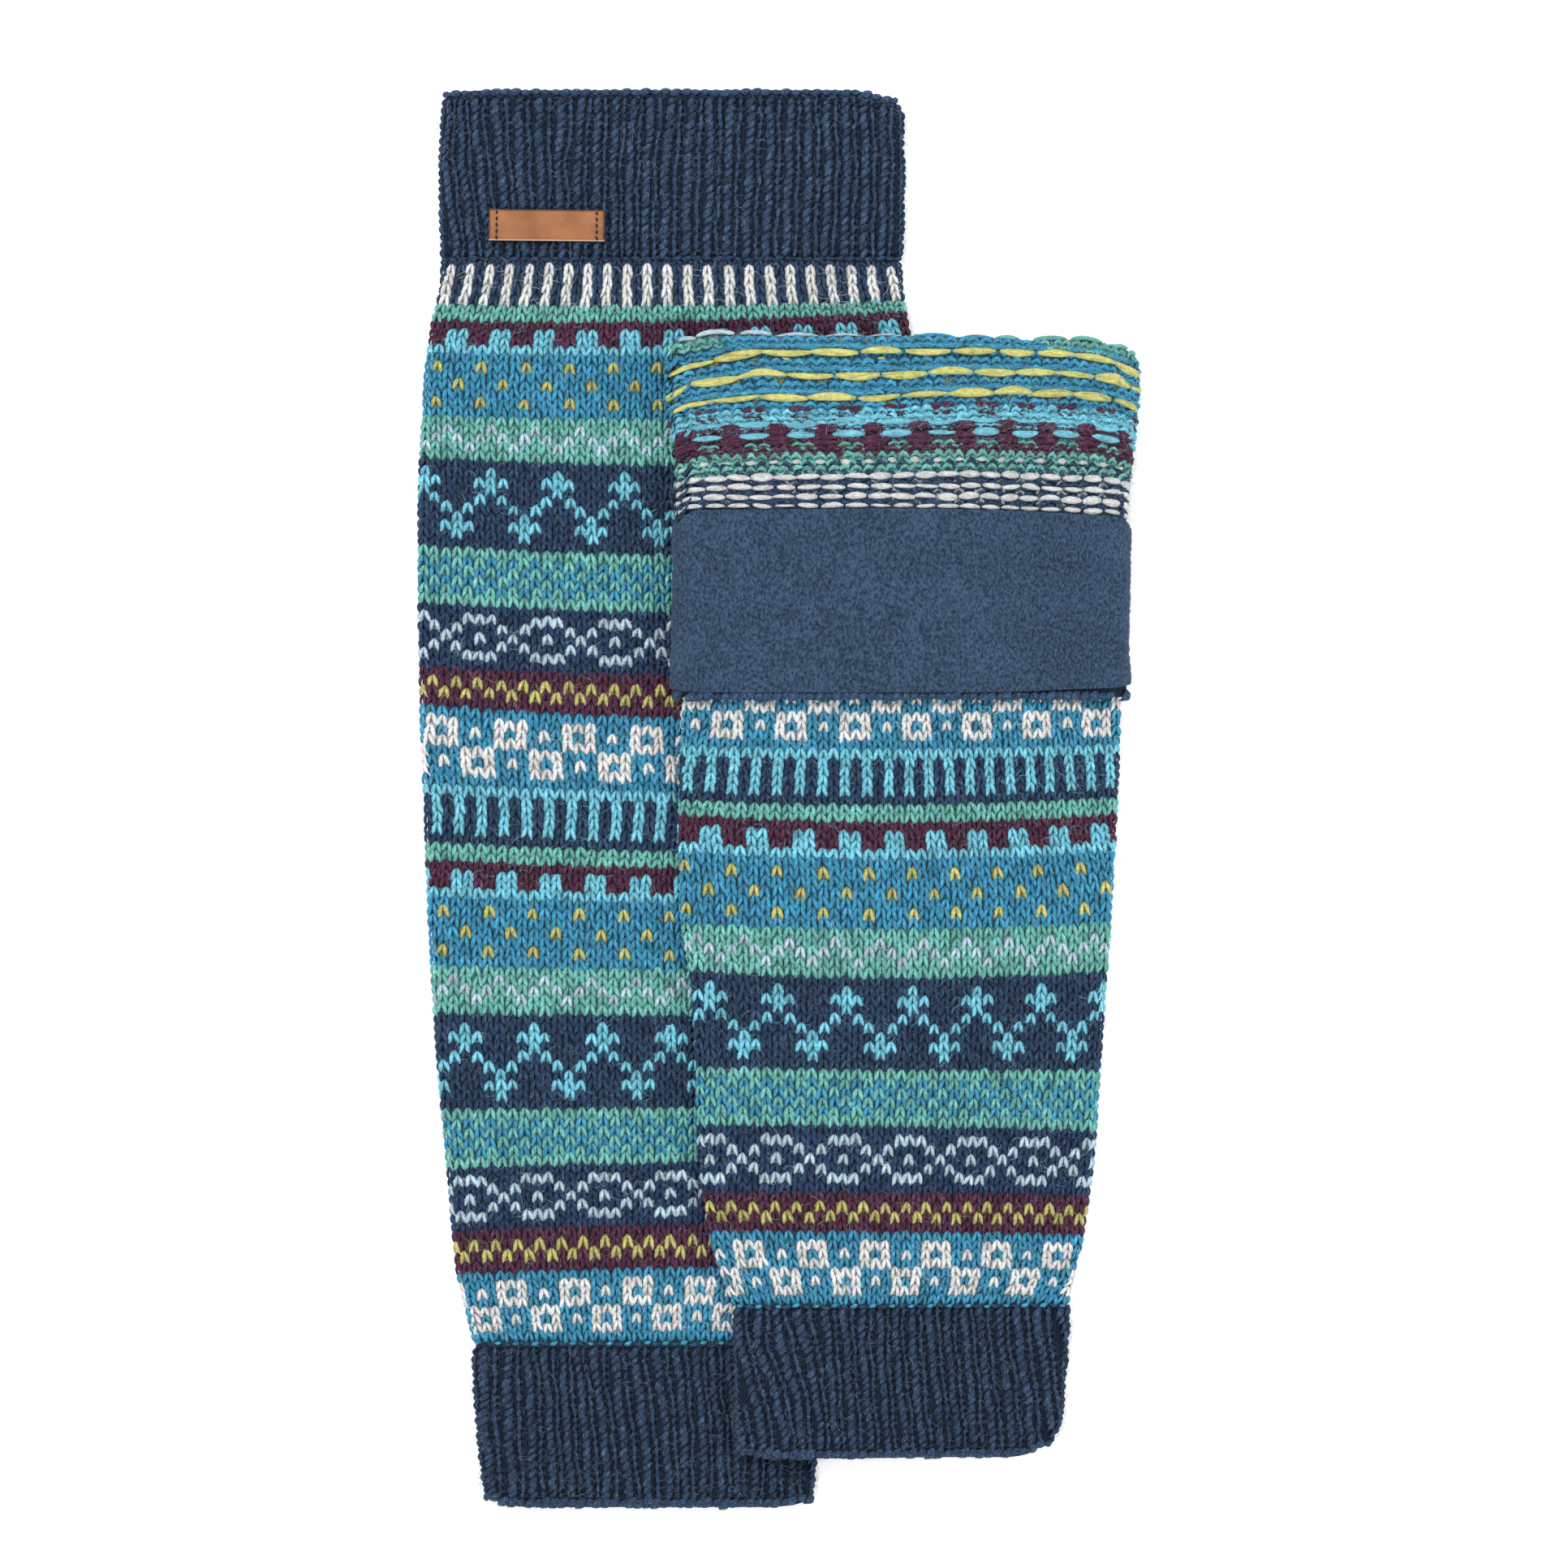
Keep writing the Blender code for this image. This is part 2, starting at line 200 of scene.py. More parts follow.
# ---- the knitting: yarns and the chart, each band a short repeat
yarns = {  # sRGB
    "N": (44, 69, 101), "D": (41, 66, 102), "W": (246, 246, 244), "G": (122, 197, 186), "P": (91, 44, 71),
    "C": (131, 215, 236), "B": (69, 157, 193), "Y": (206, 200, 124), "V": (222, 216, 126),
    "L": (196, 220, 234), "R": (54, 81, 114)}
bands = {
    "intro": ["N", "WN", "WN", "WN", "WN"],
    "green": ["G", "G"],
    "castle": ["P", "CCPP", "CCPP", "C"],
    "dots": ["B", "YBBB", "B", "BBYB", "B", "YBBB", "B"],
    "zigzag": ["G", "LGGG", "GLGL", "GGLG", "G"],
    "trees": ["N", "CNNNNN", "CCNNNC", "CNNNNN", "NCNNNC", "NNCNCN", "NNNCNN", "NNCCCN", "NNNCNN", "N"],
    "checker": ["G", "BG", "GB", "BG", "GB", "G"],
    "diamonds": ["D", "LLDDDL", "DDLDLD", "LDDLDD", "DDLDLD", "LLDDDL", "D"],
    "seeds": ["P", "YP", "PY", "P"],
    "boxes": ["B", "WWWBBB", "WBWBWB", "WWWBBB", "BBBWWW", "BWBWBW", "BBBWWW", "B"],
    "bars": ["C", "CN", "CN", "CN", "CN", "N"]}
lowerChart = [  # band and how many stitches it is shifted
    ("intro", 0), ("green", 0), ("castle", 2), ("dots", 3), ("zigzag", 2), ("trees", 2), ("checker", 0),
    ("diamonds", 3), ("seeds", 1), ("boxes", 1), ("bars", 1), ("green", 0), ("castle", 1), ("dots", 2),
    ("zigzag", 1), ("trees", 4), ("checker", 0), ("diamonds", 4), ("seeds", 0), ("boxes", 2)]
upperChart = [
    ("intro", 0), ("green", 0), ("castle", 2), ("dots", 3), ("zigzag", 2), ("trees", 2), ("checker", 0),
    ("diamonds", 3), ("seeds", 1), ("boxes", 0), ("bars", 1), ("green", 0), ("castle", 3), ("dots", 1),
    ("zigzag", 0), ("trees", 3), ("checker", 0), ("diamonds", 3), ("seeds", 1), ("boxes", 1)]
lower["rows"] = [  # row, y of its upper line at the left, in the middle and at the right
    (0, 159.3, 159.3, 158.9), (1, 158.0, 157.9, 157.4), (5, 146.2, 145.7, 147.1), (7, 141.6, 141.1, 143.8), (11, 132.0, 131.3, 133.9),
    (18, 113.3, 112.3, 114.2), (23, 100.8, 98.6, 98.6), (33, 74.6, 72.0, 72.0), (39, 57.8, 55.2, 55.2),
    (46, 38.9, 36.5, 36.5), (50, 27.6, 24.0, 24.0), (58, 4.3, 1.9, 1.9), (64, -13.0, -15.6, -15.6),
    (66, -18.2, -20.4, -20.4), (70, -28.8, -30.7, -30.7), (77, -49.4, -50.6, -50.6),
    (82, -63.6, -64.1, -64.1), (92, -92.2, -91.7, -91.7), (98, -109.7, -107.8, -107.8),
    (105, -128.4, -126.2, -126.2), (109, -141.1, -139.0, -139.0), (117, -160.6, -160.3, -160.3)]
upper["rows"] = [
    (0, 160.0, 160.0, 160.0), (50, 37.0, 36.0, 37.0), (58, 15.4, 14.6, 15.8), (64, -0.7, -1.9, 0.0),
    (66, -5.0, -7.0, -5.0), (70, -15.8, -17.8, -15.8), (77, -37.0, -38.6, -37.0),
    (82, -50.9, -53.0, -51.4), (92, -79.4, -80.4, -80.4), (98, -96.5, -97.0, -98.2),
    (105, -116.4, -116.6, -117.6), (109, -127.9, -128.2, -129.4), (117, -149.2, -149.4, -149.4)]
lower["across"] = (-101.9, -38.3, 31.3)  # x of those three places
upper["across"] = (-25.1, 40.9, 93.7)
lower["wales"] = [  # y, x of wale 0, pitch to its left, pitch to its right
    (159.8, -39.0, 2.87, 3.0), (151.9, -39.0, 2.94, 3.04), (147.8, -39.0, 3.01, 3.08), (136.3, -39.0, 3.22, 3.22),
    (122.2, -39.0, 3.28, 3.24), (92.2, -39.0, 3.3, 3.29), (40.6, -38.2, 3.36, 3.34),
    (17.8, -39.0, 3.38, 3.34), (-3.8, -37.9, 3.32, 3.31), (-23.3, -39.5, 3.28, 3.29),
    (-39.8, -39.0, 3.36, 3.31), (-67.4, -38.5, 3.4, 3.31), (-99.8, -38.4, 3.34, 3.26),
    (-126.2, -38.3, 3.29, 3.22), (-144.2, -38.6, 3.12, 3.07), (-153.8, -39.0, 2.98, 2.95),
    (-161.5, -39.0, 2.88, 2.88)]
upper["wales"] = [
    (136.0, 28.8, 3.2, 3.1), (23.0, 28.8, 3.13, 2.96), (9.4, 29.5, 3.29, 2.98), (-10.3, 29.6, 3.43, 3.04),
    (-26.6, 30.2, 3.4, 3.17), (-67.4, 30.2, 3.37, 3.15), (-98.6, 29.6, 3.33, 3.1),
    (-119.0, 28.3, 3.28, 3.05), (-132.2, 28.4, 3.12, 3.02), (-141.8, 28.7, 2.96, 2.95),
    (-149.5, 28.7, 2.76, 2.74)]


def chartRows(chart):
    return [(row, shift) for band, shift in chart for row in bands[band]]


def linear(colour):  # sRGB 0..255 to linear 0..1
    c = np.asarray(colour, float) / 255
    return np.where(c <= 0.04045, c / 12.92, ((c + 0.055) / 1.055) ** 2.4)


def rowLine(leg, row, x):  # y of a row line at x
    numbers = [line[0] for line in leg["rows"]]
    a, b, c = (np.interp(row, numbers, [line[i] for line in leg["rows"]]) for i in (1, 2, 3))
    x0, x1, x2 = leg["across"]
    x = np.clip(x, x0 - 8, x2 + 8)
    return (a * (x - x1) * (x - x2) / ((x0 - x1) * (x0 - x2)) + b * (x - x0) * (x - x2) / ((x1 - x0) * (x1 - x2))
            + c * (x - x0) * (x - x1) / ((x2 - x0) * (x2 - x1)))


def waleLine(leg, wale, y):  # place across the front of a wale at y
    ys = [line[0] for line in leg["wales"]][::-1]
    start, toLeft, toRight = (np.interp(y, ys, [line[i] for line in leg["wales"]][::-1]) for i in (1, 2, 3))
    return start + wale * np.where(wale < 0, toLeft, toRight)


def yarnColours(rows, row, wale):  # linear colour of every stitch
    names = np.empty(row.shape, dtype="<U1")
    for i in np.unique(row):
        pattern, shift = rows[int(i) % len(rows)]
        at = row == i
        letters = np.array(list(pattern))
        names[at] = letters[(wale[at].astype(int) + shift) % len(pattern)]
    return coloursOf(names)


def coloursOf(names):
    colours = np.ones(names.shape + (4,))
    for name, colour in yarns.items():
        colours[names == name, :3] = linear(colour)
    return colours


def lightBetween(colours):  # pale yarns throw light into the gaps between their stitches
    bright = colours[..., :3] @ np.array((0.21, 0.72, 0.07))
    return np.concatenate([colours[..., :3] * (1 + 1.2 * bright[..., None] ** 2), colours[..., 3:]], axis=-1)


# ---- meshes and materials
def onFloor(points):  # nothing sinks into what the pair lies on
    points[..., 2] = np.maximum(points[..., 2], 0.0)
    return points


def makeMesh(name, points, faces, colours=None, uvs=None, material=None, level=True):
    mesh = bpy.data.meshes.new(name)
    points = onFloor(np.asarray(points, float)) * mm
    mesh.from_pydata(points.tolist(), [], faces if isinstance(faces, list) else faces.tolist())
    mesh.validate()
    if level:
        mesh.shade_smooth()
    if uvs is not None:
        layer = mesh.uv_layers.new(name="knit")
        layer.data.foreach_set("uv", np.asarray(uvs, dtype=np.float32).ravel())
    if colours is not None:
        layer = mesh.color_attributes.new("yarn", "FLOAT_COLOR", "CORNER")
        layer.data.foreach_set("color", np.asarray(colours, dtype=np.float32).ravel())
    if material:
        mesh.materials.append(material)
    piece = bpy.data.objects.new(name, mesh)
    bpy.context.scene.collection.objects.link(piece)
    return piece


def nodes(material):
    tree = material.node_tree

    def add(kind, place=None, **settings):
        node = tree.nodes.new(kind)
        for key, value in settings.items():
            setattr(node, key, value)
        return node
    return tree, add, tree.links.new


def woolMaterial(name, spec):  # colour from the yarn attribute, fibres and ply from the strand's own uv
    material = bpy.data.materials.new(name)
    material.use_nodes = True
    tree, add, link = nodes(material)
    shader = tree.nodes["Principled BSDF"]
    yarn = add("ShaderNodeAttribute", attribute_name="yarn")
    coords = add("ShaderNodeTexCoord")
    uvMap = add("ShaderNodeUVMap", uv_map="strand")
    stretch = add("ShaderNodeVectorMath", operation="MULTIPLY")
    link(uvMap.outputs["UV"], stretch.inputs[0])
    stretch.inputs[1].default_value = (*spec["streak"], 0.0)
    offset = add("ShaderNodeVectorMath", operation="MULTIPLY_ADD")
    link(coords.outputs["Object"], offset.inputs[0])
    offset.inputs[1].default_value = (spec["drift"], spec["drift"], spec["drift"])
    link(stretch.outputs["Vector"], offset.inputs[2])
    fibre = add("ShaderNodeTexNoise")
    fibre.inputs["Scale"].default_value = 1.0
    fibre.inputs["Detail"].default_value = 2.0
    fibre.inputs["Roughness"].default_value = 0.75
    link(offset.outputs["Vector"], fibre.inputs["Vector"])
    heather = add("ShaderNodeTexNoise")
    heather.inputs["Scale"].default_value = spec["heatherScale"]
    heather.inputs["Detail"].default_value = 2.0
    link(coords.outputs["Object"], heather.inputs["Vector"])
    ply = add("ShaderNodeTexWave", wave_type="BANDS", bands_direction="DIAGONAL")
    ply.inputs["Scale"].default_value = spec["plyScale"]
    ply.inputs["Distortion"].default_value = 3.0
    ply.inputs["Detail"].default_value = 2.0
    link(uvMap.outputs["UV"], ply.inputs["Vector"])
    shade = add("ShaderNodeMapRange")
    shade.inputs["From Min"].default_value = 0.3
    shade.inputs["From Max"].default_value = 0.7
    shade.inputs["To Min"].default_value = spec["shade"][0]
    shade.inputs["To Max"].default_value = spec["shade"][1]
    link(fibre.outputs["Fac"], shade.inputs["Value"])
    mottle = add("ShaderNodeMapRange")
    mottle.inputs["From Min"].default_value = 0.35
    mottle.inputs["From Max"].default_value = 0.65
    mottle.inputs["To Min"].default_value = spec["mottle"][0]
    mottle.inputs["To Max"].default_value = spec["mottle"][1]
    link(heather.outputs["Fac"], mottle.inputs["Value"])
    both = add("ShaderNodeMath", operation="MULTIPLY")
    link(shade.outputs["Result"], both.inputs[0])
    link(mottle.outputs["Result"], both.inputs[1])
    bright = add("ShaderNodeRGBToBW")
    link(yarn.outputs["Color"], bright.inputs["Color"])
    pale = add("ShaderNodeMath", operation="POWER")
    link(bright.outputs["Val"], pale.inputs[0])
    pale.inputs[1].default_value = 2.0
    soften = add("ShaderNodeMath", operation="MULTIPLY")
    link(pale.outputs["Value"], soften.inputs[0])
    soften.inputs[1].default_value = 0.6
    even = add("ShaderNodeMix", data_type="FLOAT")
    link(soften.outputs["Value"], even.inputs["Factor"])
    link(both.outputs["Value"], even.inputs["A"])
    even.inputs["B"].default_value = 1.0
    colour = add("ShaderNodeVectorMath", operation="SCALE")
    link(yarn.outputs["Color"], colour.inputs[0])
    link(even.outputs["Result"], colour.inputs["Scale"])
    tips = add("ShaderNodeMapRange")
    tips.inputs["From Min"].default_value = 0.56
    tips.inputs["From Max"].default_value = 0.72
    tips.inputs["To Max"].default_value = spec["tips"]
    link(fibre.outputs["Fac"], tips.inputs["Value"])
    paler = add("ShaderNodeMix", data_type="RGBA")
    link(tips.outputs["Result"], paler.inputs["Factor"])
    link(colour.outputs["Vector"], paler.inputs["A"])
    paler.inputs["B"].default_value = (0.44, 0.60, 0.74, 1.0)
    link(paler.outputs["Result"], shader.inputs["Base Color"])
    heights = add("ShaderNodeMath", operation="MULTIPLY_ADD")
    link(ply.outputs["Fac"], heights.inputs[0])
    heights.inputs[1].default_value = spec["plyShare"]
    link(fibre.outputs["Fac"], heights.inputs[2])
    bump = add("ShaderNodeBump")
    bump.inputs["Strength"].default_value = spec["bump"]
    bump.inputs["Distance"].default_value = 0.0003
    link(heights.outputs["Value"], bump.inputs["Height"])
    link(bump.outputs["Normal"], shader.inputs["Normal"])
    shader.inputs["Roughness"].default_value = 0.92
    shader.inputs["Specular IOR Level"].default_value = 0.18
    shader.inputs["Sheen Weight"].default_value = spec["sheen"]
    shader.inputs["Sheen Roughness"].default_value = 0.55
    shader.inputs["Sheen Tint"].default_value = (0.9, 0.94, 1.0, 1.0)
    return material


def paintedShadeKnitBaseMaterial(name, spec):  # the cloth under the raised stitches: knit relief from the uv; its colour is painted shade, darkest in the relief's low parts, and partly drawn towards the navy yarn carried behind
    material = bpy.data.materials.new(name)
    material.use_nodes = True
    tree, add, link = nodes(material)
    shader = tree.nodes["Principled BSDF"]
    yarn = add("ShaderNodeAttribute", attribute_name="yarn")
    uvMap = add("ShaderNodeUVMap", uv_map="knit")
    split = add("ShaderNodeSeparateXYZ")
    link(uvMap.outputs["UV"], split.inputs["Vector"])
    column = add("ShaderNodeMath", operation="FRACT")
    link(split.outputs["X"], column.inputs[0])
    middle = add("ShaderNodeMath", operation="SUBTRACT")
    link(column.outputs["Value"], middle.inputs[0])
    middle.inputs[1].default_value = 0.5
    side = add("ShaderNodeMath", operation="ABSOLUTE")
    link(middle.outputs["Value"], side.inputs[0])
    slant = add("ShaderNodeMath", operation="MULTIPLY_ADD")
    link(side.outputs["Value"], slant.inputs[0])
    slant.inputs[1].default_value = -1.7
    link(split.outputs["Y"], slant.inputs[2])
    angle = add("ShaderNodeMath", operation="MULTIPLY")
    link(slant.outputs["Value"], angle.inputs[0])
    angle.inputs[1].default_value = 2 * math.pi
    wave = add("ShaderNodeMath", operation="COSINE")
    link(angle.outputs["Value"], wave.inputs[0])
    legAngle = add("ShaderNodeMath", operation="MULTIPLY")
    link(side.outputs["Value"], legAngle.inputs[0])
    legAngle.inputs[1].default_value = 2 * math.pi
    legWave = add("ShaderNodeMath", operation="SINE")
    link(legAngle.outputs["Value"], legWave.inputs[0])
    height = add("ShaderNodeMath", operation="MULTIPLY_ADD")
    link(wave.outputs["Value"], height.inputs[0])
    height.inputs[1].default_value = 0.35
    link(legWave.outputs["Value"], height.inputs[2])
    coords = add("ShaderNodeTexCoord")
    fibre = add("ShaderNodeTexNoise")
    fibre.inputs["Scale"].default_value = 2600.0
    fibre.inputs["Detail"].default_value = 3.0
    link(coords.outputs["Object"], fibre.inputs["Vector"])
    total = add("ShaderNodeMath", operation="MULTIPLY_ADD")
    link(fibre.outputs["Fac"], total.inputs[0])
    total.inputs[1].default_value = 0.6
    link(height.outputs["Value"], total.inputs[2])
    bump = add("ShaderNodeBump")
    bump.inputs["Strength"].default_value = spec["bump"]
    bump.inputs["Distance"].default_value = 0.0008
    link(total.outputs["Value"], bump.inputs["Height"])
    link(bump.outputs["Normal"], shader.inputs["Normal"])
    # painted shade: relief and fibre noise scale the cloth's colour down into the spec's shade range, darkest in the
    # gaps between stitches
    shade = add("ShaderNodeMapRange")
    shade.inputs["From Min"].default_value = -0.3
    shade.inputs["From Max"].default_value = 1.6
    shade.inputs["To Min"].default_value = spec["shade"][0]
    shade.inputs["To Max"].default_value = spec["shade"][1]
    link(total.outputs["Value"], shade.inputs["Value"])
    behind = add("ShaderNodeMix", data_type="RGBA")
    behind.inputs["Factor"].default_value = spec["behind"]
    link(yarn.outputs["Color"], behind.inputs["A"])
    behind.inputs["B"].default_value = (*linear(yarns["N"]), 1.0)
    colour = add("ShaderNodeVectorMath", operation="SCALE")
    link(behind.outputs["Result"], colour.inputs[0])
    link(shade.outputs["Result"], colour.inputs["Scale"])
    link(colour.outputs["Vector"], shader.inputs["Base Color"])
    shader.inputs["Roughness"].default_value = 0.95
    shader.inputs["Specular IOR Level"].default_value = 0.15
    shader.inputs["Sheen Weight"].default_value = spec["sheen"]
    shader.inputs["Sheen Roughness"].default_value = 0.6
    return material


wool = woolMaterial("woolStrand", {
    "streak": (1.4, 6.5), "drift": 650.0, "heatherScale": 450.0, "plyScale": 2.4, "plyShare": 0.5,
    "bump": 0.8, "shade": (0.36, 1.62), "mottle": (0.84, 1.16), "tips": 0.18, "sheen": 0.06})
ribWool = woolMaterial("ribStrand", {
    "streak": (2.2, 5.0), "drift": 900.0, "heatherScale": 520.0, "plyScale": 2.4, "plyShare": 0.5,
    "bump": 0.9, "shade": (0.34, 1.56), "mottle": (0.82, 1.18), "tips": 0.2, "sheen": 0.08})
floatWool = woolMaterial("floatStrand", {
    "streak": (0.5, 13.0), "drift": 160.0, "heatherScale": 450.0, "plyScale": 2.4, "plyShare": 0.35,
    "bump": 0.7, "shade": (0.42, 1.5), "mottle": (0.88, 1.12), "tips": 0.2, "sheen": 0.08})
# painted shade: the cloth under the stitches, the cuffs and the turned cuff keeps only 0.14 to 0.52 of its yarn colour
paintedShadeKnitBase = paintedShadeKnitBaseMaterial("paintedShadeKnitBase", {"bump": 0.8, "shade": (0.14, 0.52), "behind": 0.35, "sheen": 0.03})
print("form, chart and materials ready")

# ---- strands: small closed tubes, repeated by Geometry Nodes
strandSides = 4


def strandShape(name, paths, sides=strandSides):  # rows of x, y, z, half width, half height
    points, faces, uvs = [], [], []
    for p, path in enumerate(paths):
        path = np.array(path, float)
        ways = np.gradient(path[:, :3], axis=0)
        ways[:, 2] = 0
        ways /= np.linalg.norm(ways, axis=1)[:, None]
        first = len(points)
        for (x, y, z, w, h), (wx, wy, _) in zip(path, ways):
            for i in range(sides):
                turn = math.pi / 2 + 2 * math.pi * i / sides
                aside, rise = math.cos(turn) * w, math.sin(turn) * h
                if rise < 0:
                    rise *= 0.6
                points.append((x + wy * aside, y - wx * aside, z + rise))
        count = len(path)
        for r in range(count - 1):
            for i in range(sides):
                j = (i + 1) % sides
                a, b = first + r * sides, first + (r + 1) * sides
                faces.append((a + i, b + i, b + j, a + j))
                u0, u1 = r / (count - 1) + p, (r + 1) / (count - 1) + p
                v0, v1 = i / sides, (i + 1) / sides
                uvs += [(u0, v0), (u1, v0), (u1, v1), (u0, v1)]
        for base, flip in ((first, False), (first + (count - 1) * sides, True)):
            ring = [base + i for i in range(sides)]
            faces.append(tuple(ring[::-1] if flip else ring))
            uvs += [(p, 0.5)] * sides
    mesh = bpy.data.meshes.new(name)
    mesh.from_pydata(points, [], faces)
    layer = mesh.uv_layers.new(name="strand")
    layer.data.foreach_set("uv", np.array(uvs, dtype=np.float32).ravel())
    mesh.shade_smooth()
    return bpy.data.objects.new(name, mesh)


def mirrored(path):
    return [(-x, y, z, w, h) for x, y, z, w, h in path]


legPath = [(0.06, 0.72, -0.15, 0.07, 0.2), (0.15, 0.42, 0.32, 0.165, 0.42), (0.25, 0.04, 0.50, 0.215, 0.56),
           (0.345, -0.38, 0.32, 0.18, 0.46), (0.44, -0.82, -0.4, 0.07, 0.22)]
knitShape = strandShape("knitShape", [legPath, mirrored(legPath)])
ribLeft = [(-0.10, 0.70, -0.4, 0.06, 0.2), (-0.155, 0.42, 0.22, 0.13, 0.42), (-0.235, 0.05, 0.5, 0.18, 0.54),
           (-0.315, -0.36, 0.28, 0.15, 0.44), (-0.36, -0.72, -0.35, 0.06, 0.25)]
ribRight = [(0.265, 0.66, -0.25, 0.035, 0.2), (0.25, 0.34, 0.26, 0.085, 0.34), (0.235, 0.0, 0.42, 0.10, 0.42),
            (0.22, -0.34, 0.26, 0.085, 0.34), (0.205, -0.70, -0.3, 0.035, 0.2)]
ribShape = strandShape("ribShape", [ribLeft, ribRight])
purlOver = [(-0.52, -0.34, -0.4, 0.11, 0.2), (-0.34, 0.08, 0.25, 0.23, 0.42), (0.0, 0.30, 0.5, 0.28, 0.54),
            (0.34, 0.08, 0.25, 0.23, 0.42), (0.52, -0.34, -0.4, 0.11, 0.2)]
purlUnder = [(0.0, 0.0, -0.3, 0.11, 0.2), (0.16, -0.36, 0.12, 0.20, 0.38), (0.5, -0.56, 0.35, 0.24, 0.46),
             (0.84, -0.36, 0.12, 0.20, 0.38), (1.0, 0.0, -0.3, 0.11, 0.2)]
purlShape = strandShape("purlShape", [purlOver, purlUnder])
bumpShape = strandShape("bumpShape", [purlOver])
floatPath = [(-0.50, -0.05, -0.35, 0.10, 0.2), (-0.40, 0.0, 0.15, 0.28, 0.4), (-0.22, 0.03, 0.5, 0.46, 0.62),
             (0.0, 0.05, 0.62, 0.52, 0.7), (0.22, 0.03, 0.5, 0.46, 0.62), (0.40, 0.0, 0.15, 0.28, 0.4),
             (0.50, -0.05, -0.35, 0.10, 0.2)]
floatShape = strandShape("floatShape", [floatPath], sides=5)


def repeatTree():
    tree = bpy.data.node_groups.new("strandOnPoints", "GeometryNodeTree")
    for title, kind, way in (
            ("Points", "NodeSocketGeometry", "INPUT"), ("Strand", "NodeSocketObject", "INPUT"),
            ("Finish", "NodeSocketMaterial", "INPUT"), ("Sway", "NodeSocketFloat", "INPUT"),
            ("Uneven", "NodeSocketFloat", "INPUT"), ("Seed", "NodeSocketInt", "INPUT"),
            ("Cloth", "NodeSocketGeometry", "OUTPUT")):
        tree.interface.new_socket(name=title, in_out=way, socket_type=kind)
    add, link = tree.nodes.new, tree.links.new
    given, result = add("NodeGroupInput"), add("NodeGroupOutput")
    strand = add("GeometryNodeObjectInfo")
    link(given.outputs["Strand"], strand.inputs["Object"])

    def vectorNamed(name):
        node = add("GeometryNodeInputNamedAttribute")
        node.data_type = "FLOAT_VECTOR"
        node.inputs["Name"].default_value = name
        return node.outputs["Attribute"]

    axes = add("FunctionNodeAxesToRotation")
    axes.primary_axis, axes.secondary_axis = "Y", "X"
    link(vectorNamed("waleWay"), axes.inputs["Primary Axis"])
    link(vectorNamed("acrossWay"), axes.inputs["Secondary Axis"])
    least = add("ShaderNodeMath")
    least.operation = "MULTIPLY"
    link(given.outputs["Sway"], least.inputs[0])
    least.inputs[1].default_value = -1.0
    sway = add("FunctionNodeRandomValue")
    link(least.outputs[0], sway.inputs["Min"])
    link(given.outputs["Sway"], sway.inputs["Max"])
    link(given.outputs["Seed"], sway.inputs["Seed"])
    lean = add("ShaderNodeCombineXYZ")
    link(sway.outputs["Value"], lean.inputs["Z"])
    turn = add("FunctionNodeEulerToRotation")
    link(lean.outputs["Vector"], turn.inputs["Euler"])
    rotate = add("FunctionNodeRotateRotation")
    rotate.rotation_space = "LOCAL"
    link(axes.outputs["Rotation"], rotate.inputs["Rotation"])
    link(turn.outputs["Rotation"], rotate.inputs["Rotate By"])
    small = add("ShaderNodeMath")
    small.operation = "SUBTRACT"
    small.inputs[0].default_value = 1.0
    link(given.outputs["Uneven"], small.inputs[1])
    large = add("ShaderNodeMath")
    large.operation = "ADD"
    large.inputs[0].default_value = 1.0
    link(given.outputs["Uneven"], large.inputs[1])
    vary = add("FunctionNodeRandomValue")
    link(small.outputs[0], vary.inputs["Min"])
    link(large.outputs[0], vary.inputs["Max"])
    link(given.outputs["Seed"], vary.inputs["Seed"])
    size = add("ShaderNodeVectorMath")
    size.operation = "SCALE"
    link(vectorNamed("strandSize"), size.inputs[0])
    link(vary.outputs["Value"], size.inputs["Scale"])
    place = add("GeometryNodeInstanceOnPoints")
    link(given.outputs["Points"], place.inputs["Points"])
    link(strand.outputs["Geometry"], place.inputs["Instance"])
    link(rotate.outputs["Rotation"], place.inputs["Rotation"])
    link(size.outputs["Vector"], place.inputs["Scale"])
    real = add("GeometryNodeRealizeInstances")
    link(place.outputs["Instances"], real.inputs["Geometry"])
    finish = add("GeometryNodeSetMaterial")
    link(real.outputs["Geometry"], finish.inputs["Geometry"])
    link(given.outputs["Finish"], finish.inputs["Material"])
    link(finish.outputs["Geometry"], result.inputs["Cloth"])
    return tree


strandTree = repeatTree()


def setInputs(modifier, **values):
    sockets = {item.name: item.identifier for item in modifier.node_group.interface.items_tree
               if item.item_type == "SOCKET" and item.in_out == "INPUT"}
    for name, value in values.items():
        modifier[sockets[name]] = value


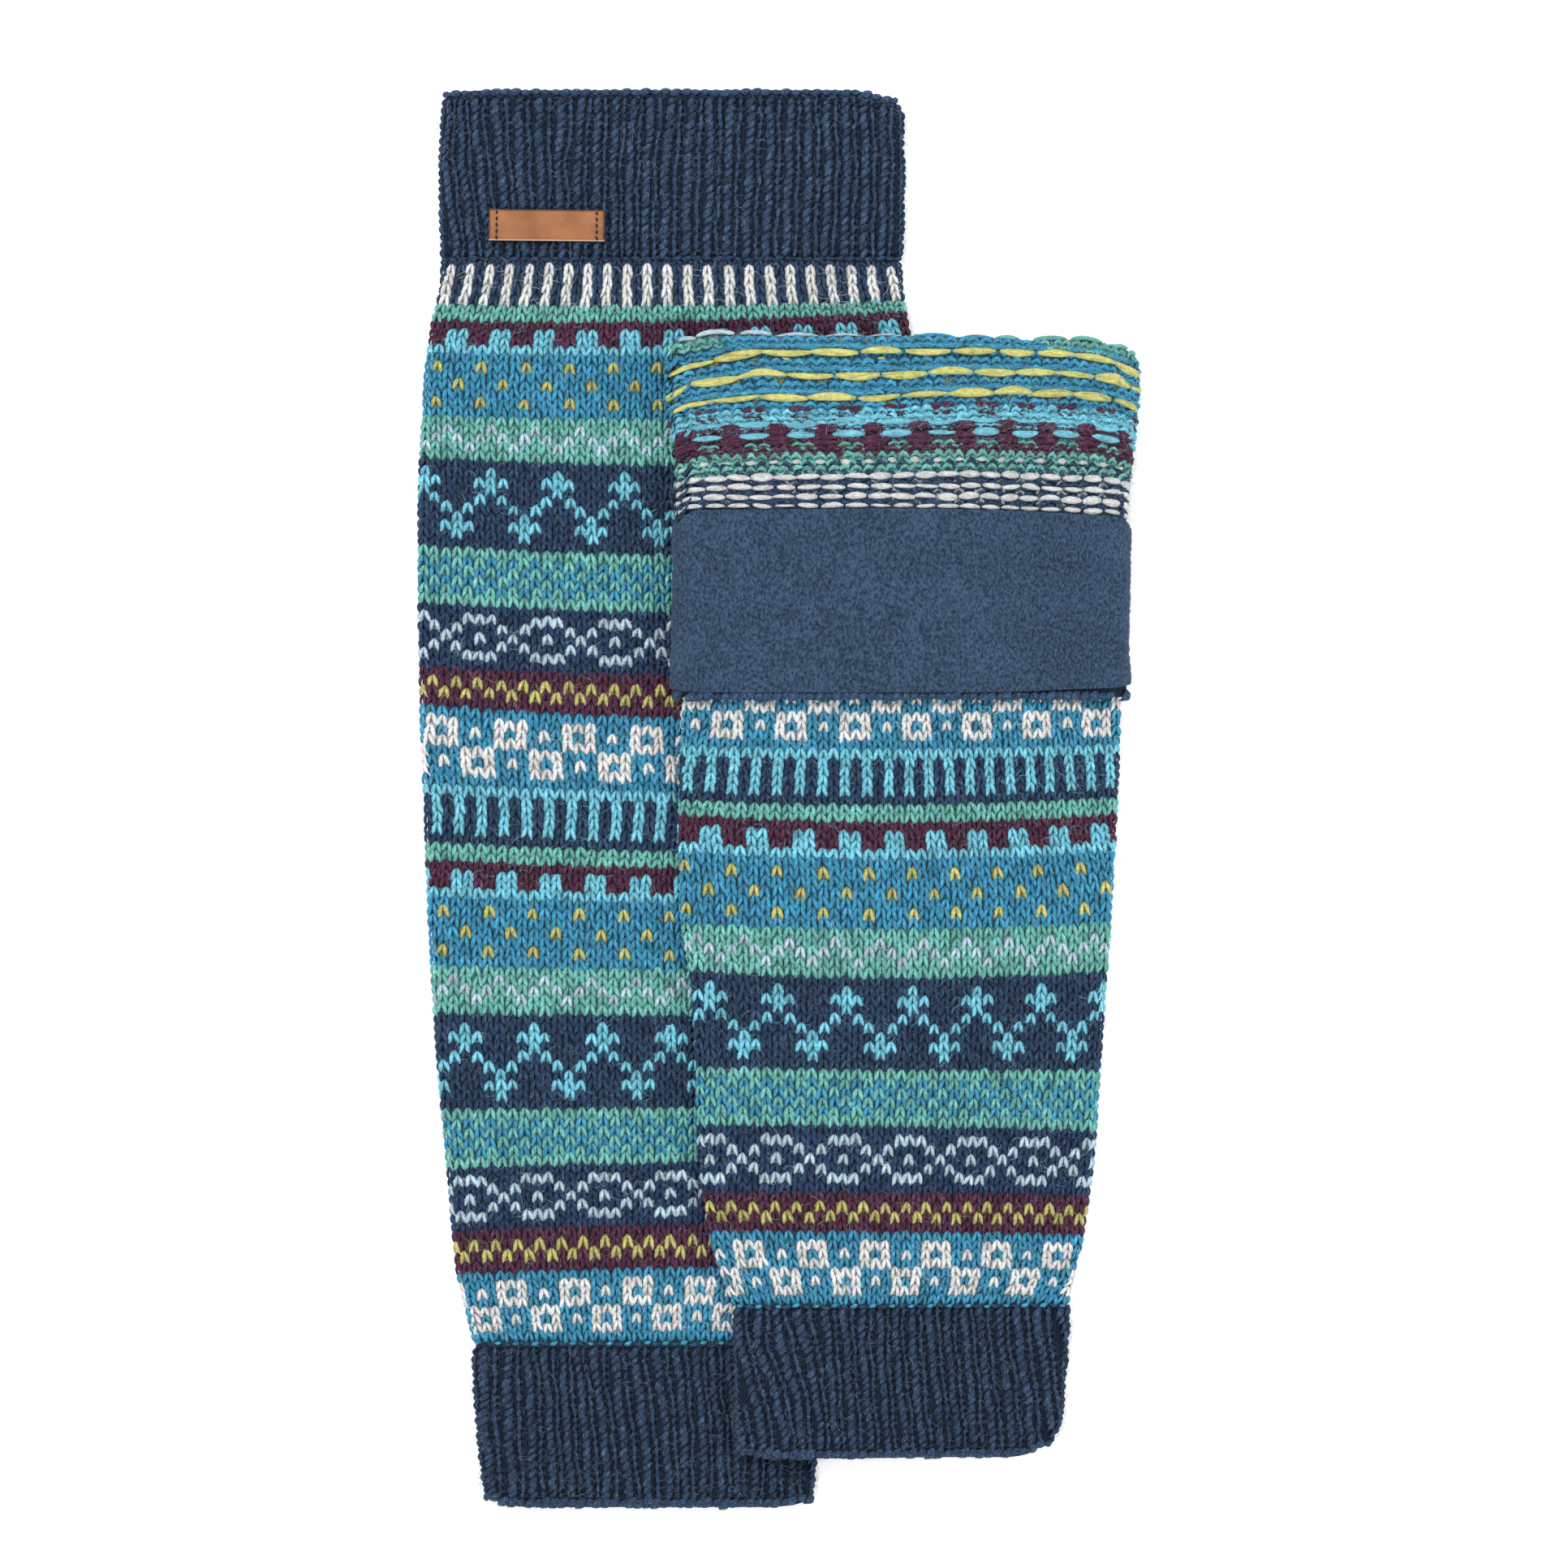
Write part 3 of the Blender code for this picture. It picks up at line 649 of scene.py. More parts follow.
def placeStrands(name, shape, spots, material, sway=0.05, uneven=0.06, seed=1):
    # spots: point, way along the wale, way across, size and colour of each strand, all in millimetres
    mesh = bpy.data.meshes.new(name + "Spots")
    mesh.vertices.add(len(spots["point"]))
    mesh.vertices.foreach_set("co", (spots["point"] * mm).astype(np.float32).ravel())
    for title, values in (("waleWay", spots["wale"]), ("acrossWay", spots["across"]), ("strandSize", spots["size"] * mm)):
        layer = mesh.attributes.new(title, "FLOAT_VECTOR", "POINT")
        layer.data.foreach_set("vector", values.astype(np.float32).ravel())
    layer = mesh.attributes.new("yarn", "FLOAT_COLOR", "POINT")
    layer.data.foreach_set("color", spots["colour"].astype(np.float32).ravel())
    holder = bpy.data.objects.new(name + "Spots", mesh)
    bpy.context.scene.collection.objects.link(holder)
    modifier = holder.modifiers.new("strands", "NODES")
    modifier.node_group = strandTree
    setInputs(modifier, Strand=shape, Finish=material, Sway=sway, Uneven=uneven, Seed=seed)
    result = bpy.data.meshes.new_from_object(holder.evaluated_get(bpy.context.evaluated_depsgraph_get()))
    result.name = name
    places = np.empty(len(result.vertices) * 3, dtype=np.float32)
    result.vertices.foreach_get("co", places)
    result.vertices.foreach_set("co", onFloor(places.reshape(-1, 3)).ravel())
    for title in ("waleWay", "acrossWay", "strandSize"):
        if title in result.attributes:
            result.attributes.remove(result.attributes[title])
    bpy.data.objects.remove(holder, do_unlink=True)
    piece = bpy.data.objects.new(name, result)
    bpy.context.scene.collection.objects.link(piece)
    return piece


def joinSpots(*several):
    return {key: np.concatenate([spots[key] for spots in several]) for key in several[0]}


def pick(spots, keep):
    return {key: values[keep] for key, values in spots.items()}


def unit(ways):
    return ways / np.linalg.norm(ways, axis=-1, keepdims=True)


def surfaceSpots(place, a, b, da, db, size, rowLed=False):
    # frames on a surface: place(a, b) gives points, a across, b down; rowLed lays them along the row
    point = place(a, b)
    across = unit(place(a + da, b) - place(a - da, b))
    wale = unit(place(a, b - db) - place(a, b + db))
    if rowLed:
        wale = unit(np.cross(np.cross(across, wale), across))
    return {"point": point, "wale": wale, "across": across, "size": size}


def varied(colours, amount=0.07):  # each stitch a little lighter or darker
    shade = 1 + dice.normal(0, amount, colours.shape[:-1] + (1,))
    return np.concatenate([np.clip(colours[..., :3] * shade, 0, 1), colours[..., 3:]], axis=-1)


# ---- patterned tubes
knit = {"depth": 1.12, "seat": 1.5, "base": 1.5, "sideLimit": 1.95, "tuck": 7.0, "loose": 0.1, "sway": 0.1, "uneven": 0.09}


def knitPlace(leg, n):
    def place(wale, row):
        y = rowLine(leg, row, leg["across"][1])
        s = waleLine(leg, wale, y)
        y = rowLine(leg, row, s)
        s = waleLine(leg, wale, y)
        aside, along = wander(s, y)
        return onRing(leg, s + aside, y + along, n)
    return place


def knitSpots(leg, chart, rowRange, waleRange):
    row, wale = np.meshgrid(np.arange(*rowRange), np.arange(*waleRange), indexing="ij")
    row, wale = row.ravel().astype(float), wale.ravel().astype(float)
    y = rowLine(leg, row + 0.5, waleLine(leg, wale, 0.0))
    s = waleLine(leg, wale, y)
    keep = np.abs(turnAt(leg, s, y)) < knit["sideLimit"]
    if leg is lower:  # what lies under the upper one is left out
        hidden = (s > read(upper["left"], y) + knit["tuck"]) & (y < 128.0)
        keep &= ~hidden
    else:
        keep &= y < 34.0
    row, wale, y = row[keep], wale[keep], y[keep]
    pitch = waleLine(leg, wale + 0.5, y) - waleLine(leg, wale - 0.5, y)
    tall = rowLine(leg, row, s[keep]) - rowLine(leg, row + 1, s[keep])
    size = np.stack([pitch, tall, np.full(len(row), knit["depth"])], axis=-1)
    spots = surfaceSpots(knitPlace(leg, knit["seat"]), wale, row + 0.5, 0.5, 0.5, size)
    loose = dice.normal(0, knit["loose"], (len(row), 2))
    spots["point"] += spots["across"] * loose[:, :1] + spots["wale"] * loose[:, 1:]
    spots["colour"] = varied(yarnColours(chartRows(chart), row, wale), 0.09)
    spots["row"] = row
    return spots


lowerKnit = knitSpots(lower, lowerChart, (0, 117), (-24, 28))
upperKnit = knitSpots(upper, upperChart, (50, 117), (-22, 30))


def splitPieces(name, spots, rows, material, seed):
    pieces = []
    for i, (start, end) in enumerate(zip(rows, rows[1:])):
        part = pick(spots, (spots["row"] >= start) & (spots["row"] < end))
        part.pop("row")
        pieces.append(placeStrands(f"{name}{i + 1}", knitShape, part, material, knit["sway"], knit["uneven"], seed + i))
    return pieces


lowerStitches = splitPieces("lowerStitches", lowerKnit, (0, 50, 117), wool, 3)
upperStitches = splitPieces("upperStitches", upperKnit, (50, 85, 117), wool, 8)
print("stitches:", len(lowerKnit["row"]), len(upperKnit["row"]))


def outerHeight(leg, s, y, high, low=bodyHalf):  # the wall's outer face: under the stitches in front, flush below
    around = np.abs(turnAt(leg, s, y))
    return high + (low - high) * smooth((around - math.pi / 2) / (math.pi / 2))


def ringPlaces(leg, y, front, backCount):  # front places, then the rest of the ring at even steps
    left = read(leg["left"], y) + bodyHalf
    right = read(leg["right"], y) - bodyHalf
    around = 2 * (right - left) + 2 * math.pi * bodyHalf
    start, end = front[..., 0], front[..., -1]
    steps = np.arange(1, backCount) / backCount
    back = end[..., None] + (start + around - end)[..., None] * steps
    return np.concatenate([front, back], axis=-1)


def gridFaces(rows, columns):  # faces of a grid closed both ways
    r, c = np.meshgrid(np.arange(rows), np.arange(columns), indexing="ij")
    r2, c2 = (r + 1) % rows, (c + 1) % columns
    return np.stack([r * columns + c, r2 * columns + c, r2 * columns + c2, r * columns + c2], axis=-1).reshape(-1, 4)


def gridCorners(rows, columns):  # uv of every face corner, one unit for each column and row
    r, c = np.meshgrid(np.arange(rows), np.arange(columns), indexing="ij")
    r, c = r.ravel(), c.ravel()
    return np.stack([np.stack([c, -r], -1), np.stack([c, -r - 1], -1), np.stack([c + 1, -r - 1], -1),
                     np.stack([c + 1, -r], -1)], axis=1).astype(float)


def wrapped(leg, s, y):  # the same place on the ring, as turnAt expects it
    left = read(leg["left"], y) + bodyHalf
    right = read(leg["right"], y) - bodyHalf
    around = 2 * (right - left) + 2 * math.pi * bodyHalf
    centre = (left + right) / 2
    return (s - centre + around / 2) % around - around / 2 + centre


def bodyShell(name, leg, chart, rowRange, frontWales, backCount, yTop, yBottom):
    # outer wall from top to bottom at every row line, inner wall back up at every sixth
    start, end = rowRange
    lines = np.arange(start, end + 1)
    wales = np.arange(frontWales[0], frontWales[1] + 1) - 0.5
    columns = len(wales) + backCount - 1
    rows = []
    for line in lines:
        y = rowLine(leg, float(line), waleLine(leg, wales, 0.0))
        y = np.clip(y, yBottom, yTop)
        if line == start:
            y = np.full(len(wales), yTop)
        if line == end:
            y = np.full(len(wales), yBottom)
        s = ringPlaces(leg, y[0], waleLine(leg, wales, y), backCount)
        yAll = np.concatenate([y, np.linspace(y[-1], y[0], backCount + 1)[1:-1]])
        rows.append((s, yAll))
    outer = [onRing(leg, s, y, outerHeight(leg, wrapped(leg, s, y), y, knit["base"])) for s, y in rows]
    inside = [onRing(leg, s, y, cloth["hollow"]) for s, y in rows[::-1][::6]]
    if len(rows) % 6 != 1:
        inside.append(onRing(leg, *rows[0], cloth["hollow"]))
    points = np.array(outer + inside)
    faces = gridFaces(len(points), columns)
    r, c = np.meshgrid(np.arange(len(points)), np.arange(columns), indexing="ij")
    r, c = r.ravel(), c.ravel()
    corner = gridCorners(len(points), columns)
    chartRow = np.clip(start + r, start, end - 1).astype(float)
    colour = lightBetween(yarnColours(chartRows(chart), chartRow, (c + frontWales[0]).astype(float)))
    colour = np.repeat(colour[:, None, :], 4, axis=1)
    piece = makeMesh(name, points.reshape(-1, 3), faces, colour, corner, paintedShadeKnitBase)
    return piece


lowerCloth = bodyShell("lowerCloth", lower, lowerChart, (0, 117), (-20, 26), 46, 159.65, -162.05)
print("lower tube")


def turnedPlace(t, lift):  # t runs from the fold's crest down the turned part
    radius = foldRadius + lift
    angle = np.clip(t / radius, -math.pi / 2, math.pi / 2)
    y = foldY + radius * np.cos(angle) - np.maximum(t - radius * math.pi / 2, 0)
    return y, foldMiddle + radius * np.sin(angle)


def upperShell():
    # inside up, over the fold, down the turned part and back up inside it, then down the outside
    wales = np.arange(-18, 27) - 0.5
    backCount = 44
    columns = len(wales) + backCount - 1
    path = []  # y of each ring at the middle, height, chart row
    lines = np.arange(50, 118)
    lowEnd = -150.05

    def ring(y, n, row):
        path.append((y, n, row))

    bodyYs = [float(rowLine(upper, float(line), upper["across"][1])) for line in lines]
    bodyYs = [y for y in bodyYs if y < foldY - 4]
    for y in [lowEnd] + bodyYs[::-1][4::5]:
        ring(y, cloth["hollow"], 116)
    for y in np.arange(48.0, foldY - 1, 12.0):
        ring(y, cloth["hollow"], 50)
    for i in range(7):
        angle = -math.pi / 2 + math.pi * i / 6
        radius = foldRadius - 0.75 if angle > 0 else foldRadius - 0.35
        ring(foldY + radius * math.cos(angle), foldMiddle + radius * math.sin(angle), 20)
    turnedRows = np.linspace(foldY - 2.5, 85.45, 18)
    for i, y in enumerate(turnedRows):
        ring(y, turnedOut - 0.75, 17 - i)
    for y in np.linspace(85.45, foldY, 8):
        ring(y, turnedIn, 3)
    ring(foldY + 0.15, foldMiddle, 20)
    for y in np.arange(foldY - 4, 48.0, -12.0):
        ring(y, bodyHalf, 30)
    for y, line in zip(bodyYs, lines[-len(bodyYs):]):
        ring(max(y, lowEnd), None, line)
    rings, rowNumbers = [], []
    for y, n, row in path:
        if n is None:
            yFront = rowLine(upper, float(row), waleLine(upper, wales, y))
            yFront = np.maximum(yFront, lowEnd) if row < 117 else np.full(len(wales), lowEnd)
        else:
            yFront = np.full(len(wales), y)
        s = ringPlaces(upper, yFront[0], waleLine(upper, wales, yFront), backCount)
        yAll = np.concatenate([yFront, np.linspace(yFront[-1], yFront[0], backCount + 1)[1:-1]])
        if n is None:
            n = outerHeight(upper, wrapped(upper, s, yAll), yAll, knit["base"])
        rings.append(onRing(upper, s, yAll, n))
        rowNumbers.append(row)
    points = np.array(rings)
    faces = gridFaces(len(points), columns)
    r, c = np.meshgrid(np.arange(len(points)), np.arange(columns), indexing="ij")
    r, c = r.ravel(), c.ravel()
    corner = gridCorners(len(points), columns)
    chartRow = np.clip(np.array(rowNumbers)[r], 0, 116).astype(float)
    colour = lightBetween(yarnColours(chartRows(upperChart), chartRow, (c - 18).astype(float)))
    colour = np.repeat(colour[:, None, :], 4, axis=1)
    return makeMesh("upperCloth", points.reshape(-1, 3), faces, colour, corner, paintedShadeKnitBase)


upperCloth = upperShell()
print("upper tube")

# ---- reverse side of the knitting on the turned part
turned = {
    "across": (-33.0, -26.8, -19.1, -5.4, 24.1, 57.7, 81.7, 93.7, 99.7, 106.2),
    "lines": (  # a row's depth below the crest at its middle, and at each of those places across
        (7.6, (15.5, 11.7, 10.3, 7.6, 7.6, 6.9, 7.3, 9.0, 10.7, 14.3)),
        (14.1, (20.8, 17.4, 16.0, 14.5, 14.5, 13.3, 13.3, 14.8, 15.7, 19.8)),
        (21.0, (26.5, 23.2, 22.0, 20.8, 21.3, 19.3, 19.8, 20.1, 21.7, 24.9)),
        (24.1, (28.5, 25.8, 24.9, 24.4, 24.0, 22.8, 23.2, 24.0, 24.9, 28.0)),
        (37.6, (43.3, 39.3, 38.1, 37.6, 37.2, 36.6, 36.9, 37.8, 38.9, 41.9)),
        (44.3, (48.1, 45.9, 44.9, 44.7, 44.3, 43.5, 44.5, 44.9, 45.7, 48.6)),
        (52.9, (55.8, 53.7, 53.2, 53.1, 52.9, 53.2, 54.1, 54.6, 54.9, 57.0))),
    "wales": (-8, -4, 0, 4, 8, 12, 16, 20, 24, 28, 32, 36, 40, 44),
    "walesTop": (-46.0, -33.0, -19.1, -4.9, 9.5, 23.4, 37.1, 51.0, 64.7, 76.2, 87.5, 99.2, 108.6, 119.0),
    "walesLow": (-45.0, -32.0, -18.8, -4.9, 8.5, 23.2, 36.8, 50.0, 62.8, 74.0, 86.8, 98.8, 107.6, 118.0),
    "rows": (  # yarns that show as loops, wale by wale, their depth, and the loop's size
        ("B", 2.4, 1.0), ("B", 4.9, 1.0), ("B", 9.7, 1.05), ("B", 12.1, 1.0), ("B", 16.2, 1.05), ("B", 18.8, 1.0),
        ("B", 22.4, 0.9), ("C", 24.4, 1.0), ("C", 26.4, 1.0), ("C", 28.0, 0.9),
        ("P", 31.3, 0.8), ("GPPG", 34.1, 0.65), ("P", 35.6, 0.9), ("G", 37.7, 1.1), ("N", 39.8, 0.8),
        ("G", 41.3, 0.95), ("N", 42.9, 0.9), ("N", 45.8, 0.9), ("N", 48.8, 0.9), ("N", 51.6, 0.9), ("N", 54.2, 0.8)),
    "floats": (  # yarn, depth, middle in wales, every so many, length in wales, thickness, sag, left out by chance
        ("V", 7.6, 2.0, 4, 3.95, 2.3, 0.5, 0.0), ("V", 14.1, 0.0, 4, 3.95, 2.5, 0.6, 0.0),
        ("V", 21.0, 1.85, 4, 3.95, 2.5, 0.5, 0.0), ("V", 9.4, 2.0, 4, 0.7, 0.9, 0.1, 0.8),
        ("B", 5.6, 0.0, 4, 1.9, 1.5, 0.2, 0.1), ("B", 12.3, 2.0, 4, 1.9, 1.5, 0.2, 0.1),
        ("B", 19.2, 0.0, 4, 1.9, 1.5, 0.2, 0.1), ("P", 24.4, 2.8, 4, 1.05, 1.9, 0.1, 0.0),
        ("P", 24.4, 3.8, 4, 1.05, 1.9, 0.1, 0.0), ("P", 26.8, 2.85, 4, 0.95, 1.0, 0.1, 0.1),
        ("P", 26.8, 3.75, 4, 0.95, 1.0, 0.1, 0.1), ("C", 28.8, 3.3, 4, 2.9, 1.5, 0.5, 0.0),
        ("P", 29.5, 1.35, 4, 1.9, 1.5, 0.1, 0.0), ("P", 30.8, 1.35, 4, 2.1, 1.6, 0.1, 0.0),
        ("P", 30.5, 3.3, 4, 3.2, 0.6, 0.2, 0.0), ("C", 32.2, 3.3, 4, 2.6, 2.1, 0.25, 0.0),
        ("P", 33.2, 1.35, 4, 2.1, 1.6, 0.1, 0.0), ("P", 34.5, 1.35, 4, 2.3, 1.6, 0.1, 0.0),
        ("W", 40.1, 1.0, 2, 0.78, 1.5, 0.05, 0.0),
        ("W", 44.3, 0.0, 2, 1.88, 2.1, 0.16, 0.0), ("W", 47.3, 0.1, 2, 1.88, 1.9, 0.16, 0.0),
        ("W", 50.2, -0.1, 2, 1.9, 2.1, 0.16, 0.0), ("W", 52.9, 0.0, 2, 1.8, 1.6, 0.16, 0.0)),
    "crest": (  # yarn, middle and length in wales, rise and thickness of the floats that lie over the crest
        ("L", -2.3, 1.5, -0.3, 1.6), ("L", 0.1, 3.2, 0.3, 2.1), ("L", 3.5, 2.6, 0.3, 1.9), ("L", 6.9, 3.4, 0.0, 1.3),
        ("L", 10.8, 3.2, 0.0, 0.8), ("L", 14.4, 2.8, 0.0, 0.7), ("B", 18.6, 3.4, 0.1, 1.2), ("B", 22.3, 2.8, 0.0, 1.2),
        ("G", 25.0, 2.4, 0.2, 1.7), ("G", 29.4, 3.4, 0.3, 1.9), ("G", 33.2, 3.2, 0.3, 1.9), ("G", 36.6, 2.4, 0.1, 1.6)),
    "greenLeft": 0.5, "greenRight": 28.0, "reach": 1.9, "dye": 0.94,
    "dyes": {"W": 0.86, "C": 0.89, "G": 0.89, "P": 0.9}, "seat": -0.75, "sides": 7, "steps": 9}


def turnedDye(yarn):  # the reverse shows every yarn a little darker
    return turned["dyes"].get(yarn, turned["dye"])


def turnedDepth(t, x):  # how far along the turned part a row lies at x, so that it shows at its measured place
    depths = np.array([0.0] + [line[0] for line in turned["lines"]])
    extra = [np.zeros(np.shape(x))]
    for depth, places in turned["lines"]:
        y, _ = turnedPlace(depth, 0.0)
        extra.append(np.interp(x, turned["across"], places) - dropAt(upper, x, y) - depth)
    extra = np.array(extra)
    t = np.broadcast_to(t, np.shape(x))
    index = np.clip(np.searchsorted(depths, t) - 1, 0, len(depths) - 2)
    share = np.clip((t - depths[index]) / (depths[index + 1] - depths[index]), 0, 1)
    low = np.take_along_axis(extra, index[None], 0)[0]
    high = np.take_along_axis(extra, index[None] + 1, 0)[0]
    return t + low + (high - low) * share


def turnedSurface(lift):
    def place(wale, t):
        share = np.clip((t - 7.6) / 37.0, 0, 1)
        x = np.interp(wale, turned["wales"], turned["walesTop"]) * (1 - share)
        x = x + np.interp(wale, turned["wales"], turned["walesLow"]) * share
        y, n = turnedPlace(turnedDepth(t, x), lift)
        return onRing(upper, ringAt(upper, x, y, n), y, n)
    return place


def turnedAngle(wale, t):  # how far round the side a place on the turned part lies
    share = np.clip((t - 7.6) / 37.0, 0, 1)
    x = np.interp(wale, turned["wales"], turned["walesTop"]) * (1 - share)
    x = x + np.interp(wale, turned["wales"], turned["walesLow"]) * share
    y, n = turnedPlace(turnedDepth(t, x), 0.0)
    return np.abs(turnAt(upper, ringAt(upper, x, y, n), y))


def purlSpots():
    parts = []
    wales = np.arange(-6, 43).astype(float)
    for pattern, t, tall in turned["rows"]:
        place = turnedSurface(turned["seat"])
        across = place(wales + 0.5, np.full(len(wales), t)) - place(wales - 0.5, np.full(len(wales), t))
        pitch = np.clip(np.linalg.norm(across, axis=1), 2.6, 3.8)
        size = np.stack([pitch, np.full(len(wales), 3.0 * tall), np.full(len(wales), 1.1)], axis=-1)
        jitter = dice.normal(0, 0.1, (2, len(wales)))
        spots = surfaceSpots(place, wales + jitter[0], t + jitter[1], 0.5, 1.0, size, rowLed=True)
        names = np.array([pattern[int(w) % len(pattern)] for w in wales])
        if t < 3:
            names[(wales < turned["greenLeft"]) | (wales > turned["greenRight"])] = "G"
        dyed = coloursOf(names)
        dyed[:, :3] *= np.array([turnedDye(name) for name in names])[:, None]
        spots["colour"] = varied(dyed, 0.14)
        spots = pick(spots, turnedAngle(wales, np.full(len(wales), t)) < turned["reach"])
        parts.append(spots)
    return joinSpots(*parts)


def yarnRuns(name, runs, sides, material):
    # tubes of yarn: each run is its middle line, the way up, half widths, half heights and a colour
    points, faces, uvs, colours = [], [], [], []
    for middle, up, wide, high, colour in runs:
        along = unit(np.gradient(middle, axis=0))
        aside = unit(np.cross(along, up))
        first, count = sum(len(part) for part in points), len(middle)
        angle = math.pi / 2 + 2 * math.pi * np.arange(sides) / sides
        ring = aside[:, None] * (np.cos(angle) * wide[:, None])[..., None]
        ring = ring + up[:, None] * (np.sin(angle) * high[:, None])[..., None]
        points.append((middle[:, None] + ring).reshape(-1, 3))
        for r in range(count - 1):
            for i in range(sides):
                j = (i + 1) % sides
                a, b = first + r * sides, first + (r + 1) * sides
                faces.append((a + i, b + i, b + j, a + j))
                u0, u1 = r * 0.8, (r + 1) * 0.8
                uvs += [(u0, i / sides), (u1, i / sides), (u1, (i + 1) / sides), (u0, (i + 1) / sides)]
        ends = [first + i for i in range(sides)], [first + (count - 1) * sides + i for i in range(sides)]
        faces += [tuple(ends[0]), tuple(ends[1][::-1])]
        uvs += [(0.0, 0.5)] * sides * 2
        colours.append(np.tile(colour, ((count - 1) * sides * 4 + 2 * sides, 1)))
    piece = makeMesh(name, np.concatenate(points), faces, np.concatenate(colours), uvs, material)
    piece.data.uv_layers["knit"].name = "strand"
    return piece


def upOf(place, a, b):  # the way up off a surface
    across = place(a + 0.2, b) - place(a - 0.2, b)
    down = place(a, b + 0.4) - place(a, b - 0.4)
    return unit(np.cross(down, across))


def turnedRun(middle, length, t, thick, sag, yarn, lift=0.05):
    share = np.linspace(0, 1, turned["steps"])
    swell = np.sin(math.pi * np.clip(share, 0.02, 0.98)) ** 0.6
    wales = middle + (share - 0.5) * length
    skew = dice.normal(0, 0.28)
    depth = t + sag * np.sin(math.pi * share) + skew * (share - 0.5) + dice.normal(0, 0.08)
    place = turnedSurface(lift)
    line = place(wales, depth)
    up = upOf(place, wales, depth)
    line = line + up * (0.35 * np.sin(math.pi * share) - 0.45)[:, None]
    wide = thick / 2 * (0.3 + 0.7 * swell)
    shade = np.append(linear(yarns[yarn]) * turnedDye(yarn) * (1 + dice.normal(0, 0.05)), 1.0)
    return line, up, wide, np.minimum(wide, 0.75) * 0.95, np.clip(shade, 0, 1)


def floatRuns():
    runs = []
    for yarn, t, start, every, length, thick, sag, missing in turned["floats"]:
        for middle in np.arange(start - 8, 42, every):
            chance, reach, girth, dip = dice.random(), dice.normal(0, 0.06), dice.normal(0, 0.17), dice.normal(0, 1)
            side = turnedAngle(np.array([middle]), np.array([t]))[0]
            if side > turned["reach"] or chance < missing:
                continue
            runs.append(turnedRun(middle, length * (1 + reach), t, thick * (1 + girth), sag * dip, yarn))
    for yarn, middle, length, rise, thick in turned["crest"]:
        runs.append(turnedRun(middle, length, 1.4, thick, -0.6, yarn, lift=rise + 0.2))
    return runs


turnedSpots = purlSpots()
turnedLoops = placeStrands("turnedLoops", purlShape, turnedSpots, wool, sway=0.18, uneven=0.12, seed=21)
turnedFloats = yarnRuns("turnedFloats", floatRuns(), turned["sides"], floatWool)
print("turned part")

# ---- ribbed cuffs
cuffs = {  # at: heights where the bright line of every rib was placed, lines: their x there
    "lowerTopCuff": {
        "leg": lower, "node": "left_top_cuff", "seam": 159.8, "rim": 209.8, "rows": 20, "dye": 0.92, "at": (202.6, 188.2, 164.2),
        "lines": (
            (-96.8, -93.0, -88.7, -82.2, -75.5, -69.5, -62.8, -57.2, -52.4, -46.7, -41.9, -36.4, -30.4, -24.4, -18.8, -12.8, -6.8, -1.1, 4.7, 10.0, 15.5, 21.0, 26.5, 32.0),
            (-97.6, -92.5, -87.2, -81.0, -75.2, -69.2, -64.2, -58.4, -52.7, -47.9, -42.8, -37.8, -32.0, -25.3, -18.8, -13.6, -7.3, -1.3, 4.4, 10.4, 16.2, 21.7, 27.2, 32.5),
            (-94.4, -89.6, -84.4, -78.6, -73.8, -68.3, -63.0, -58.2, -52.7, -47.4, -43.1, -38.3, -32.3, -26.0, -19.8, -14.0, -8.3, -2.3, 3.7, 9.5, 15.0, 20.5, 26.5, 31.8))},
    "lowerAnkleCuff": {
        "leg": lower, "node": "left_bottom_cuff", "seam": -162.2, "rim": -209.8, "rows": 20, "dye": 0.80, "at": (-164.6, -176.6, -186.2, -203.0),
        "lines": (
            (-85.6, -78.7, -73.6, -68.1, -63.0, -58.8, -53.4, -47.4, -41.2, -34.9, -28.8, -23.2, -18.6, -13.3, -7.8, -2.3, 3.2, 8.5),
            (-85.8, -78.7, -71.9, -67.0, -62.0, -57.0, -52.0, -46.0, -39.7, -33.0, -27.6, -22.4, -17.9, -12.4, -6.8, -1.6, 4.0, 9.2),
            (-85.5, -78.4, -71.9, -66.4, -61.6, -56.1, -50.4, -44.9, -38.4, -32.2, -26.9, -21.1, -16.2, -11.3, -5.9, -0.6, 4.9, 10.0),
            (-83.6, -77.2, -71.3, -65.4, -60.1, -54.7, -49.4, -43.0, -37.0, -31.1, -26.4, -21.0, -15.8, -11.0, -5.9, -0.6, 5.3, 10.2))},
    "upperAnkleCuff": {
        "leg": upper, "node": "right_bottom_cuff", "seam": -150.2, "rim": -195.0, "rows": 19, "dye": 0.82, "at": (-152.6, -161.3, -175.9, -189.1),
        "lines": (
            (-16.4, -10.7, -4.8, 0.7, 7.2, 14.9, 20.5, 25.8, 31.1, 35.6, 40.3, 45.7, 51.0, 55.8, 60.8, 66.4, 72.1, 78.1),
            (-16.0, -10.2, -4.8, 2.2, 9.8, 16.1, 21.1, 25.8, 31.0, 35.6, 40.9, 46.2, 51.2, 56.9, 61.4, 67.1, 72.7, 79.1),
            (-11.6, -5.9, 0.7, 6.7, 12.2, 16.9, 22.0, 27.0, 32.0, 37.1, 41.9, 47.9, 52.9, 58.2, 63.0, 69.2, 75.0, 81.0),
            (-9.5, -3.1, 3.2, 8.2, 13.6, 18.1, 23.2, 28.2, 33.2, 38.5, 43.6, 49.3, 54.1, 59.0, 64.9, 70.2, 76.0, 81.7))}}
